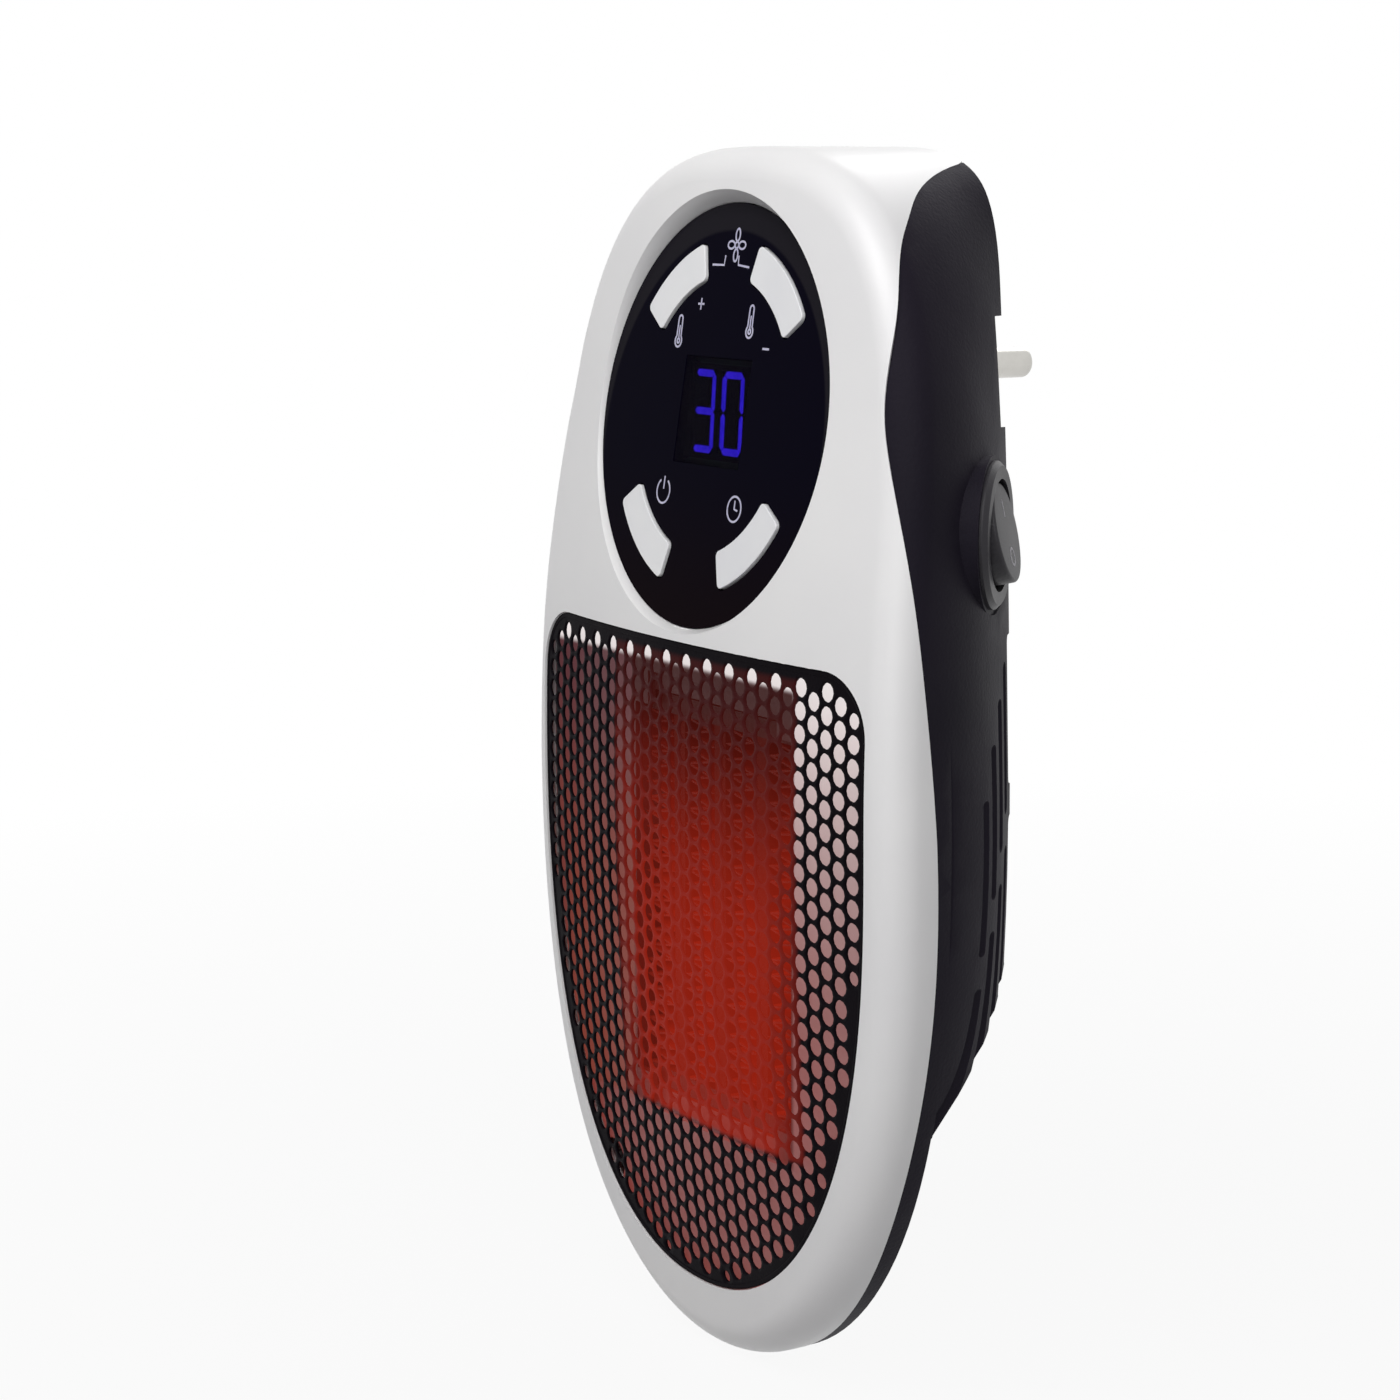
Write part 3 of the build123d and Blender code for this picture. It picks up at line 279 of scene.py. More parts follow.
def makeLevels():
    # colour that passes from one shade to another between two heights of the object
    group, start, end = startGroup(
        "levels", (("Low shade", black), ("High shade", black), ("Low", -0.1), ("High", 0.0)), "Colour")
    part = spreadOver(group, objectAxes(group)["Z"], start["Low"], start["High"], smooth=True)
    group.links.new(blendShades(group, part, start["Low shade"], start["High shade"]), end)
    return group


def softSide(group, value, edge, soft):
    # 1 where the value is below the edge by the soft distance, falling to 0 as far past it
    return spreadOver(group, value, edge + soft, edge - soft, smooth=True)


def makePaintedGlowAndShade(facts):
    # painted light inside a soft box: the heater's red glow painted as colour, strongest at its foot and
    # dimmer at its top and sides; given one dark colour it paints shade instead
    group, start, end = startGroup(
        "paintedGlowAndShade", (("Foot colour", black), ("Top and side colour", black), ("Outside", black), ("Middle", 0.0),
                   ("Half", facts["half"] * mm), ("Rise", 0.0)), "Colour")
    axes = objectAxes(group)
    across = calculate(group, "ABSOLUTE", calculate(group, "SUBTRACT", axes["X"], start["Middle"]))
    beyond = calculate(group, "SUBTRACT", across, start["Half"])
    level = calculate(group, "SUBTRACT", axes["Z"], start["Rise"])
    down = calculate(group, "MULTIPLY", level, -1.0)
    soft = facts["soft"] * mm
    inside = calculate(group, "MULTIPLY", softSide(group, beyond, 0.0, soft),
                       softSide(group, level, facts["top"] * mm, soft))
    inside = calculate(group, "MULTIPLY", inside, softSide(group, down, -facts["bottom"] * mm, soft))
    rise = spreadOver(group, level, facts["footColourZ"] * mm, facts["topColourZ"] * mm, smooth=True)
    fade = spreadOver(group, beyond, -facts["fade"] * mm, 0.0, most=facts["fadeShare"])
    boxColour = blendShades(group, calculate(group, "MAXIMUM", rise, fade), start["Foot colour"], start["Top and side colour"])
    group.links.new(blendShades(group, inside, start["Outside"], boxColour), end)
    return group


def makePaintedFrameLight(facts):
    # painted light: a glow that stands in for the light a white moulding behind the mesh sends back, most at
    # its top
    group, start, end = startGroup(
        "paintedFrameLight", (("High shade", black), ("Low shade", black), ("High", 0.0), ("Low", -0.1)), "Colour")
    part = spreadOver(group, objectAxes(group)["Z"], start["Low"], start["High"])
    part = calculate(group, "POWER", part, facts["power"])
    group.links.new(blendShades(group, part, start["Low shade"], start["High shade"]), end)
    return group


def makeFrontOnly(soft):
    # keeps a painted glow on the front of a plate and black behind it
    group, start, end = startGroup("frontOnly", (("Shade", black), ("Limit", 0.0)), "Colour")
    past = calculate(group, "SUBTRACT", objectAxes(group)["Y"], start["Limit"])
    group.links.new(blendShades(group, softSide(group, past, 0.0, soft * mm), black, start["Shade"]), end)
    return group


def makePaintedReflection(facts):
    # a painted reflection: a paler crescent along the top of a disc, the part outside a circle that sits
    # lower than the disc
    group, start, end = startGroup("paintedReflection", (("Shade", black), ("Reflection shade", black)), "Colour")
    shift, flatten, reach = (group.nodes.new("ShaderNodeVectorMath") for _ in range(3))
    shift.operation, flatten.operation, reach.operation = "SUBTRACT", "MULTIPLY", "LENGTH"
    shift.inputs[1].default_value = [value * mm for value in facts["centre"]]
    flatten.inputs[1].default_value = (1.0, 0.0, 1.0)
    group.links.new(objectPlace(group), shift.inputs[0])
    group.links.new(shift.outputs["Vector"], flatten.inputs[0])
    group.links.new(flatten.outputs["Vector"], reach.inputs[0])
    part = spreadOver(group, reach.outputs["Value"], (facts["radius"] - facts["soft"]) * mm,
                      (facts["radius"] + facts["soft"]) * mm, smooth=True)
    group.links.new(blendShades(group, part, start["Shade"], start["Reflection shade"]), end)
    return group


# box where painted light is laid, in millimetres: the heater's red painted glow and the frame's dark painted
# shade
paintedLightBox = {"half": 24.4, "top": -46.5, "bottom": -119.0, "soft": 0.6, "footColourZ": -90.0, "topColourZ": -48.0,
            "fade": 9.0, "fadeShare": 0.75}
paintedFrameLightZone = {"power": 3.8}
paintedReflectionZone = {"centre": (0.0, 0.0, -10.5), "radius": 31.4, "soft": 0.35}
effects = {"paintedGlowAndShade": makePaintedGlowAndShade(paintedLightBox), "paintedFrameLight": makePaintedFrameLight(paintedFrameLightZone),
           "paintedReflection": makePaintedReflection(paintedReflectionZone),
           "frontOnly": makeFrontOnly(0.2),
           "mottle": makeMottle(), "handling": makeHandling(), "grain": makeGrain("grain", None),
           "brushing": makeGrain("brushing", (1.0, 1.0, 0.04)), "levels": makeLevels()}


def placeEffect(material, effect, values):
    node = material.node_tree.nodes.new("ShaderNodeGroup")
    node.node_tree = effects[effect]
    for label, value in values.items():
        node.inputs[label].default_value = value
    return node.outputs[0]


def shade(value):
    # a colour as it is seen, turned into the renderer's linear light
    seen = [int(value[i:i + 2], 16) / 255 for i in (0, 2, 4)]
    return [c / 12.92 if c <= 0.04045 else ((c + 0.055) / 1.055) ** 2.4 for c in seen] + [1.0]


# Finishes: two near shades as seen, patch size, roughness range, relief and what the shader holds
finishes = {
    "whitePlastic": {"shades": ("f1f0f0", "ecebec"), "patch": 25, "rough": (0.30, 0.38),
                     "relief": ("grain", 2200, 0.05)},
    "charcoalPlastic": {"shades": ("14111a", "1a1620"), "patch": 30, "rough": (0.5, 0.64),
                        "relief": ("grain", 1800, 0.32),
                        "specular": 0.08},
    # the grille's wires glow red inside a box: painted glow of the heater behind them
    "blackSheet": {"shades": ("060407", "0a070b"), "patch": 90, "rough": (0.5, 0.65),
                   "relief": ("grain", 2600, 0.25),
                   "specular": 0.03, "outside": "020102",
                   "paintedGlow": (("8c1f10", "340c09", 6.4, 25.4, 3.3),), "glow": 1.0},
    # the panel's paler crescent along its top is a painted reflection
    "panelGloss": {"levels": ("0e0408", "040212", -0.043, -0.012), "rough": (0.10, 0.16),
                   "relief": ("grain", 300, 0.004), "specular": 0.008, "paintedReflection": "1f1d23"},
    "keyGloss": {"shades": ("f2f2f3", "ebebee"), "patch": 60, "rough": (0.16, 0.24),
                 "relief": ("grain", 900, 0.02)},
    "smokyLens": {"shades": ("070512", "0b0713"), "patch": 90, "rough": (0.05, 0.1),
                  "relief": ("grain", 300, 0.003),
                  "alpha": 0.55, "specular": 0.01},
    "displayPlastic": {"shades": ("030205", "040307"), "patch": 60, "rough": (0.6, 0.7),
                       "relief": ("grain", 1200, 0.02),
                       "specular": 0.0},
    "digitLight": {"shades": ("2712d2", "3a1ff0"), "patch": 900, "rough": (0.4, 0.5),
                   "relief": ("grain", 900, 0.05),
                   "glow": 2.6},
    "printedMark": {"shades": ("b9b6d2", "cac8de"), "patch": 600, "rough": (0.4, 0.55),
                    "relief": ("grain", 3000, 0.1)},
    "rockerPlastic": {"shades": ("1f1d22", "252328"), "patch": 80, "rough": (0.42, 0.54),
                      "relief": ("grain", 2400, 0.2),
                      "specular": 0.3},
    "rockerMark": {"shades": ("a5a2aa", "b4b1b8"), "patch": 500, "rough": (0.5, 0.6),
                   "relief": ("grain", 2400, 0.1)},
    # the white frame behind the grille: a dim pinkish-grey base for painted shade and red light, a painted
    # glow brightest at its top, a dark base inside a box as painted shade, and red painted glow boxes, the
    # second on its front only
    "frameWhite": {"shades": ("947c7e", "897173"), "patch": 60, "rough": (0.45, 0.6),
                   "relief": ("grain", 1600, 0.15),
                   "paintedLight": ("e7e4e3", "6a2c26", -0.042, -0.135), "glow": 1.0,
                   "opening": ("200a0a", -14.0, 37.5),
                   "paintedGlow": (("7a3a30", "553034", -14.0, 37.5, 0.0),
                            ("8c1f10", "340c09", 0.0, 23.6, 0.0)), "front": -32.9},
    # the heater's ceramic, fins and rails glow red though they are no lamp: painted glow inside and outside
    # the box, over dark red bases
    "heaterCeramic": {"shades": ("3c0e08", "4a140b"), "patch": 140, "rough": (0.6, 0.8),
                      "relief": ("grain", 1300, 0.3),
                      "specular": 0.1, "outside": "52110b",
                      "paintedGlow": (("861d0f", "300b08", 0.0, 24.4, 0.0),), "glow": 1.0},
    "finMetal": {"shades": ("54140b", "440f09"), "patch": 110, "rough": (0.4, 0.6),
                 "relief": ("brushing", 1500, 0.2),
                 "specular": 0.1, "outside": "5c130b", "paintedGlow": (("8c1f10", "340c09", 0.0, 24.4, 0.0),),
                 "glow": 1.0},
    "railWithPaintedGlow": {"shades": ("3a1411", "2e100e"), "patch": 90, "rough": (0.3, 0.45),
                   "relief": ("brushing", 1800, 0.2),
                   "specular": 0.1, "outside": "360c08",
                   "paintedGlow": (("7c1b0e", "2e0b08", 0.0, 24.4, 0.0),), "glow": 1.0},
    "railMetal": {"shades": ("9a9c9f", "8a8c90"), "patch": 90, "rough": (0.3, 0.45),
                  "relief": ("brushing", 1800, 0.2),
                  "metal": 0.9},
    "cutoutMetal": {"shades": ("b9b6ae", "a8a59d"), "patch": 120, "rough": (0.25, 0.4),
                    "relief": ("brushing", 1500, 0.15),
                    "metal": 0.9},
    "fanPlastic": {"shades": ("1a1a1c", "222225"), "patch": 60, "rough": (0.42, 0.55),
                   "relief": ("grain", 1900, 0.2)},
    "motorMetal": {"shades": ("a46a3e", "8c5832"), "patch": 160, "rough": (0.3, 0.45),
                   "relief": ("brushing", 2600, 0.5),
                   "metal": 0.85},
    "screwSteel": {"shades": ("b4b6ba", "a2a4a9"), "patch": 300, "rough": (0.25, 0.4),
                   "relief": ("brushing", 2600, 0.2),
                   "metal": 1.0},
    "boardGreen": {"shades": ("1d5a35", "267344"), "patch": 180, "rough": (0.35, 0.5),
                   "relief": ("grain", 900, 0.2)},
    "chipBlack": {"shades": ("17181a", "1f2022"), "patch": 300, "rough": (0.45, 0.6),
                  "relief": ("grain", 2500, 0.2)},
    "relayBlue": {"shades": ("2a4f8f", "31599d"), "patch": 120, "rough": (0.35, 0.5),
                  "relief": ("grain", 1500, 0.1)},
    "windingTape": {"shades": ("c9a63a", "b8952e"), "patch": 150, "rough": (0.4, 0.55),
                    "relief": ("brushing", 900, 0.4)},
    "ferrite": {"shades": ("2a2a2c", "353537"), "patch": 200, "rough": (0.5, 0.7),
                "relief": ("grain", 2200, 0.3)},
    "capSleeve": {"shades": ("1d2740", "26314c"), "patch": 150, "rough": (0.3, 0.4),
                  "relief": ("grain", 1200, 0.05)},
    "terminalGreen": {"shades": ("2f7d4a", "388a54"), "patch": 120, "rough": (0.4, 0.5),
                      "relief": ("grain", 1500, 0.15)},
    "plungerPlastic": {"shades": ("d8d4c6", "cfcabb"), "patch": 200, "rough": (0.4, 0.55),
                       "relief": ("grain", 1500, 0.1)},
    "plugPlastic": {"shades": ("333136", "3a373d"), "patch": 40, "rough": (0.48, 0.6),
                    "relief": ("grain", 1700, 0.3)},
    "pinNickel": {"shades": ("cfcdc8", "bfbdb8"), "patch": 120, "rough": (0.16, 0.3),
                  "relief": ("brushing", 2600, 0.12),
                  "metal": 1.0},
    "contactBrass": {"shades": ("c9a052", "b98f43"), "patch": 150, "rough": (0.25, 0.4),
                     "relief": ("brushing", 2000, 0.2),
                     "metal": 1.0},
}


def makeFinish(name, facts):
    material = bpy.data.materials.new(name)
    material.use_nodes = True
    links = material.node_tree.links
    surface = material.node_tree.nodes["Principled BSDF"]
    if "levels" in facts:
        low, high, bottom, top = facts["levels"]
        colour = placeEffect(material, "levels", {"Low shade": shade(low), "High shade": shade(high),
                                                  "Low": bottom, "High": top})
    else:
        first, second = facts["shades"]
        colour = placeEffect(material, "mottle", {"Shade": shade(first), "Other shade": shade(second),
                                                  "Scale": facts["patch"]})
    # painted shade: a dark base colour inside a box on the frame behind the heater's opening
    if "opening" in facts:
        dark, middle, half = facts["opening"]
        inside = placeEffect(material, "paintedGlowAndShade",
                             {"Foot colour": shade(dark), "Top and side colour": shade(dark), "Middle": middle * mm,
                                                  "Half": half * mm})
        links.new(colour, inside.node.inputs["Outside"])
        colour = inside
    # painted reflection: a paler crescent along the top of the panel
    if "paintedReflection" in facts:
        paintedLight = placeEffect(material, "paintedReflection", {"Reflection shade": shade(facts["paintedReflection"])})
        links.new(colour, paintedLight.node.inputs["Shade"])
        colour = paintedLight
    links.new(colour, surface.inputs["Base Color"])
    lowest, highest = facts["rough"]
    handling = placeEffect(material, "handling", {"Lowest": lowest, "Highest": highest})
    links.new(handling, surface.inputs["Roughness"])
    kind, scale, depth = facts["relief"]
    links.new(placeEffect(material, kind, {"Scale": scale, "Depth": depth}), surface.inputs["Normal"])
    surface.inputs["Metallic"].default_value = facts.get("metal", 0.0)
    surface.inputs["Specular IOR Level"].default_value = facts.get("specular", 0.5)
    surface.inputs["Alpha"].default_value = facts.get("alpha", 1.0)
    # painted light on the frame, brightest at its top
    if "paintedLight" in facts:
        high, low, top, bottom = facts["paintedLight"]
        colour = placeEffect(material, "paintedFrameLight", {"High shade": shade(high), "Low shade": shade(low),
                                                  "High": top, "Low": bottom})
    # painted glow boxes laid as emission; the later ones are kept to the plate's front
    for index, (footColour, topColour, middle, half, rise) in enumerate(facts.get("paintedGlow", ())):
        if index:
            kept = placeEffect(material, "frontOnly", {"Limit": facts["front"] * mm})
            links.new(colour, kept.node.inputs["Shade"])
            colour = kept
        paintedGlow = placeEffect(material, "paintedGlowAndShade",
                           {"Foot colour": shade(footColour), "Top and side colour": shade(topColour), "Middle": middle * mm,
                                                "Half": half * mm, "Rise": rise * mm})
        if index or "paintedLight" in facts:
            links.new(colour, paintedGlow.node.inputs["Outside"])
        else:
            paintedGlow.node.inputs["Outside"].default_value = shade(facts["outside"])
        colour = paintedGlow
    if "glow" in facts:
        links.new(colour, surface.inputs["Emission Color"])
        surface.inputs["Emission Strength"].default_value = facts["glow"]
    return material


finish = {name: makeFinish(name, facts) for name, facts in finishes.items()}
print("finishes made:", len(finish))

# Finish of each CAD node
nodeFinish = {
    "front_shell": "whitePlastic", "rear_shell": "charcoalPlastic", "grille": "blackSheet",
    "control_panel": "panelGloss", "display_lens": "smokyLens", "display_module": "displayPlastic",
    "control_board": "boardGreen", "control_chip": "chipBlack", "tact_switches": "chipBlack",
    "board_screws": "screwSteel", "heater_frame": "frameWhite", "ptc_bars": "heaterCeramic",
    "ptc_fins": "finMetal", "ptc_rails": "railWithPaintedGlow", "thermal_cutout": "cutoutMetal",
    "fan_frame": "fanPlastic", "fan_motor": "motorMetal", "fan_screws": "screwSteel",
    "fan_rotor": "fanPlastic", "power_board": "boardGreen", "power_board_screws": "screwSteel",
    "relay": "relayBlue", "transformer": "windingTape", "transformer_core": "ferrite",
    "capacitors": "capSleeve", "terminal_block": "terminalGreen", "switch_body": "rockerPlastic",
    "switch_terminals": "contactBrass", "rocker": "rockerPlastic", "swivel_retainer": "railMetal",
    "retainer_screws": "screwSteel", "housing_screws": "screwSteel", "plug_body": "plugPlastic",
    "plug_pins": "pinNickel", "plug_contacts": "contactBrass",
}
for key in ("temp_up", "temp_down", "power", "timer"):
    nodeFinish["key_" + key] = "keyGloss"
    nodeFinish["plunger_" + key] = "plungerPlastic"
for nodeName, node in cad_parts.items():
    node.data.materials.clear()
    node.data.materials.append(finish[nodeFinish[nodeName]])


def softenEdges(piece, edge, turn, steps=2):
    bevel = piece.modifiers.new("edge", "BEVEL")
    bevel.width = edge * mm
    bevel.segments = steps
    bevel.limit_method = "ANGLE"
    bevel.angle_limit = math.radians(turn)
    bevel.harden_normals = True


# Pieces that keep a CAD node's form but need smooth faces and softened edges
def softenedCopy(name, nodeName, body, edge, turn=30.0):
    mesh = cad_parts[nodeName].data.copy()
    mesh.name = name
    work = bmesh.new()
    work.from_mesh(mesh)
    bmesh.ops.remove_doubles(work, verts=work.verts, dist=0.000004)
    bmesh.ops.dissolve_limit(work, angle_limit=math.radians(0.4), verts=work.verts, edges=work.edges)
    work.to_mesh(mesh)
    work.free()
    mesh.shade_smooth()
    mesh.set_sharp_from_angle(angle=math.radians(turn))
    piece = bpy.data.objects.new(name, mesh)
    bpy.context.scene.collection.objects.link(piece)
    softenEdges(piece, edge, turn)
    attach(piece, body)
    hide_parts(nodeName)
    return piece


softened = (
    ("rearHousing", "rear_shell", "housing", 0.2), ("panelDisc", "control_panel", "housing", 0.25),
    ("switchBezel", "switch_body", "housing", 0.3), ("rockerKey", "rocker", "rocker_button", 0.3),
    ("powerKey", "key_power", "power_button", 0.15), ("timerKey", "key_timer", "timer_button", 0.15),
    ("warmerKey", "key_temp_up", "temp_up_button", 0.15),
            ("coolerKey", "key_temp_down", "temp_down_button", 0.15),
    ("plugCore", "plug_body", "plug", 0.3), ("plugPinPair", "plug_pins", "plug", 0.3),
    ("innerFrame", "heater_frame", "housing", 0.2), ("fanHousing", "fan_frame", "housing", 0.2),
)
for name, nodeName, body, edge in softened:
    softenedCopy(name, nodeName, body, edge)
print("softened copies made:", len(softened))

# Front shell: bridgeZ is the level of the strip between the panel and the grille
frontShell = {"loop": 384, "faceRows": 22, "roundRows": 25, "sideRows": 40, "rimRows": 22, "bridge": 72,
              "thickness": 1.9, "edge": 0.22,
              "panelPlace": (0.0, -33.245, -7.0), "panelLean": 9.0, "pocket": 32.55, "bevelSlope": 0.6,
              "pocketDepth": 1.7, "lipDepth": 1.5, "centres": (-7.0, -90.0)}
window = {"top": 74.5, "bottom": 175.7, "half": 47.2, "corner": 9.5, "zPower": 2.5, "xPower": 2.2}


def panelPoint(across, up, out):
    # millimetres on the leaning panel turned into the frame's
    lean = math.radians(frontShell["panelLean"])
    x0, y0, z0 = frontShell["panelPlace"]
    across, up, out = np.broadcast_arrays(np.asarray(across, float), up, out)
    y = y0 + up * math.sin(lean) - out * math.cos(lean)
    z = z0 + up * math.cos(lean) + out * math.sin(lean)
    return np.stack((x0 + across, y, z), axis=-1)


def panelRim(angle):
    # where the sloping rim of the panel's pocket meets the front, found by halving
    low, high = np.full(angle.shape, -1.5), np.full(angle.shape, 8.0)
    for _ in range(40):
        rise = (low + high) / 2
        radius = frontShell["pocket"] + np.maximum(rise, 0.0) * frontShell["bevelSlope"]
        spot = panelPoint(radius * np.sin(angle), radius * np.cos(angle), rise)
        inside = spot[:, 1] > frontSurface(spot[:, 0], spot[:, 2])
        low, high = np.where(inside, rise, low), np.where(inside, high, rise)
    return spot


def grilleHalf(z, inset):
    reach = widestZ - (housing["top"] - window["bottom"]) - inset
    v = np.clip((widestZ - z) / reach, 0.0, 1.0)
    return (window["half"] - inset) * (1 - v ** window["zPower"]) ** (1 / window["xPower"])


def grilleLoop(inset, count=2400):
    # outline of the grille seen from the front: straight top, round corners, egg-shaped bottom
    half, top = window["half"] - inset, housing["top"] - window["top"] - inset
    corner = window["corner"] - inset
    low = widestZ - (housing["top"] - window["bottom"]) - inset
    turn = np.linspace(0.0, math.pi / 2, 200)
    cornerX = half - corner + corner * np.sin(turn)
    cornerZ = top - corner + corner * np.cos(turn)
    fall = np.linspace(0.0, math.pi / 2, 900)
    baseZ = widestZ - low * np.sin(fall)
    baseX = grilleHalf(baseZ, inset)
    baseX[-1] = 0.0
    right = np.vstack((np.column_stack((np.linspace(0.0, cornerX[0], 200), np.full(200, top))),
                       np.column_stack((cornerX, cornerZ)), np.column_stack((baseX, baseZ))))
    loop = np.vstack((right, right[::-1] * (-1, 1)))
    step = np.linalg.norm(np.diff(loop, axis=0), axis=1)
    loop = loop[np.concatenate(([True], step > 1e-6))]
    closed = np.vstack((loop, loop[:1]))
    along = np.concatenate(([0.0], np.cumsum(np.linalg.norm(np.diff(closed, axis=0), axis=1))))
    at = np.linspace(0.0, along[-1], count, endpoint=False)
    return np.column_stack((np.interp(at, along, closed[:, 0]), np.interp(at, along, closed[:, 1])))


def byBearing(loop, centreZ, bearing):
    # the loop's points in given directions from a centre on the middle line
    own = np.arctan2(loop[:, 0], loop[:, -1] - centreZ)
    order = np.argsort(own)
    return np.column_stack([np.interp(bearing, own[order], loop[order, k], period=2 * math.pi)
                            for k in range(loop.shape[1])])


def roundedRim(loop, facts):
    # rows from the front over a rounding and back along the side: at each point of the outline an arc
    # that touches the front and the side, then a straight run to the rear
    tangent = np.roll(loop, -1, axis=0) - np.roll(loop, 1, axis=0)
    tangent /= np.linalg.norm(tangent, axis=1)[:, None]
    outward = np.column_stack((-tangent[:, 1], tangent[:, 0]))
    outward *= np.sign(np.sum(outward * (loop - (0, widestZ)), axis=1))[:, None]
    radius = housing["rimRound"]
    inward = np.full(len(loop), radius * 0.8)
    for _ in range(6):
        spot, near = loop - outward * inward[:, None], loop - outward * (inward[:, None] + 0.1)
        level = frontSurface(spot[:, 0], spot[:, 1])
        slope = (frontSurface(near[:, 0], near[:, 1]) - level) / 0.1
        inward = radius * (1 + slope / np.sqrt(1 + slope ** 2))
    centreY = level - slope * inward + slope * radius + radius * np.sqrt(1 + slope ** 2)
    first = np.arctan2(level - centreY, inward - radius)
    rows = []
    for share in np.linspace(0.0, 1.0, facts["roundRows"]):
        angle = first + (-math.pi - first) * share
        y = centreY + radius * np.sin(angle)
        edge = loop - outward * (radius + radius * np.cos(angle))[:, None]
        rows.append(np.column_stack((edge[:, 0] * sideDraw(y, edge[:, 1]), y, edge[:, 1])))
    for share in np.linspace(0.0, 1.0, facts["sideRows"] + 1)[1:]:
        y = centreY + (housing["rearY"] - centreY) * share
        rows.append(np.column_stack((loop[:, 0] * sideDraw(y, loop[:, 1]), y, loop[:, 1])))
    return np.array(rows)


def cutAtSeam(rows, count):
    # each column of the rows ends where it meets the seam or the rear face, and is divided anew
    seamY = np.interp(rows[:, :, 2], seamLine[:, 1], seamLine[:, 0])
    beyond = rows[:, :, 1] - np.minimum(seamY, housing["rearY"])
    beyond[-1] = np.maximum(beyond[-1], 0.0)
    last = np.argmax(beyond >= 0, axis=0)
    column = np.arange(rows.shape[1])
    near, far = beyond[last - 1, column], beyond[last, column]
    end = last - 1 + near / (near - far)
    at = np.linspace(0.0, 1.0, count)[:, None] * end[None, :]
    low = np.clip(np.floor(at).astype(int), 0, len(rows) - 2)
    part = (at - low)[:, :, None]
    return rows[low, column] * (1 - part) + rows[low + 1, column] * part


def gridFaces(rowCount, columnCount, closed, start=0):
    # quads between rows of equal length that follow each other
    row, column = np.meshgrid(np.arange(rowCount - 1),
                              np.arange(columnCount if closed else columnCount - 1),
                              indexing="ij")
    after = (column + 1) % columnCount
    quads = np.stack((row * columnCount + column, row * columnCount + after,
                      (row + 1) * columnCount + after, (row + 1) * columnCount + column), axis=-1)
    return quads.reshape(-1, 4) + start


def closeSeams(mesh, distance, facing=None):
    # doubles merged and faces turned one way; facing is a point the surface looks away from
    work = bmesh.new()
    work.from_mesh(mesh)
    bmesh.ops.remove_doubles(work, verts=work.verts, dist=distance * mm)
    bmesh.ops.dissolve_degenerate(work, edges=work.edges, dist=distance * mm)
    bmesh.ops.recalc_face_normals(work, faces=work.faces)
    if facing is not None:
        centre = Vector([value * mm for value in facing])
        total = sum((f.calc_center_median() - centre).dot(f.normal) * f.calc_area() for f in work.faces)
        if total < 0:
            bmesh.ops.reverse_faces(work, faces=work.faces)
    work.to_mesh(mesh)
    work.free()


def makeFrontShell(facts):
    # face round both openings, rounded rim, sides back to the seam and the strip over the top
    upperZ, lowerZ = facts["centres"]
    loop = outlineLoop(facts["loop"])
    rim = roundedRim(loop, facts)
    start = rim[0][:, (0, 2)]
    turn = np.linspace(0.0, 2 * math.pi, 2400, endpoint=False)
    opening = panelRim(turn)
    bridgeZ = (opening[:, 2].min() + housing["top"] - window["top"]) / 2
    half = len(loop) // 2
    cut = int(np.argmin(np.abs(start[:half, 1] - bridgeZ)))
    corner, bridgeZ = start[cut]
    across = np.linspace(corner, -corner, facts["bridge"] + 1)
    strip = np.column_stack((across, np.full(len(across), bridgeZ)))
    upperOuter = np.vstack((start[:cut], strip, start[len(loop) - cut + 1:]))
    lowerOuter = np.vstack((start[cut:len(loop) - cut + 1], strip[::-1][1:-1]))
    points, faces = [], []

    def addRows(rows):
        offset = sum(len(row) for row in points)
        points.extend(rows)
        faces.append(gridFaces(len(rows), len(rows[0]), True, offset))

    def faceRows(inner, outer):
        rows = []
        for share in np.linspace(0.0, 1.0, facts["faceRows"]):
            spot = inner * (1 - share) + outer * share
            rows.append(np.column_stack((spot[:, 0], frontSurface(spot[:, 0], spot[:, 1]), spot[:, 1])))
        return rows

    bearing = np.arctan2(upperOuter[:, 0], upperOuter[:, 1] - upperZ)
    own = np.unwrap(np.arctan2(opening[:, 0], opening[:, 2] - upperZ))
    spin = bearing + np.interp(bearing, own, turn - own, period=2 * math.pi)
    edge = panelRim(spin)
    pocket = [panelPoint(facts["pocket"] * np.sin(spin), facts["pocket"] * np.cos(spin), out)
              for out in (-facts["pocketDepth"], 0.0)]
    addRows(pocket + faceRows(edge[:, (0, 2)], upperOuter))
    bearing = np.arctan2(lowerOuter[:, 0], lowerOuter[:, 1] - lowerZ)
    inner = byBearing(grilleLoop(0.0), lowerZ, bearing)
    level = frontSurface(inner[:, 0], inner[:, 1]) + facts["lipDepth"]
    addRows([np.column_stack((inner[:, 0], level, inner[:, 1]))] + faceRows(inner, lowerOuter))
    rows = cutAtSeam(rim, facts["rimRows"])
    end = rows[-1]
    upper = seamLine[seamLine[:, 1] > 20.0]
    capZ = np.interp(housing["rearY"], upper[:, 0], upper[:, 1])
    onRear = end[:, 1] > housing["rearY"] - 0.01
    cap = np.column_stack((end[:, 0], end[:, 1], np.where(onRear, np.minimum(end[:, 2], capZ), end[:, 2])))
    addRows(list(rows) + [cap])
    return np.vstack(points), np.vstack(faces)


def thicken(piece, thickness):
    # wall behind the skin
    wall = piece.modifiers.new("wall", "SOLIDIFY")
    wall.thickness = thickness * mm
    wall.offset = -1.0


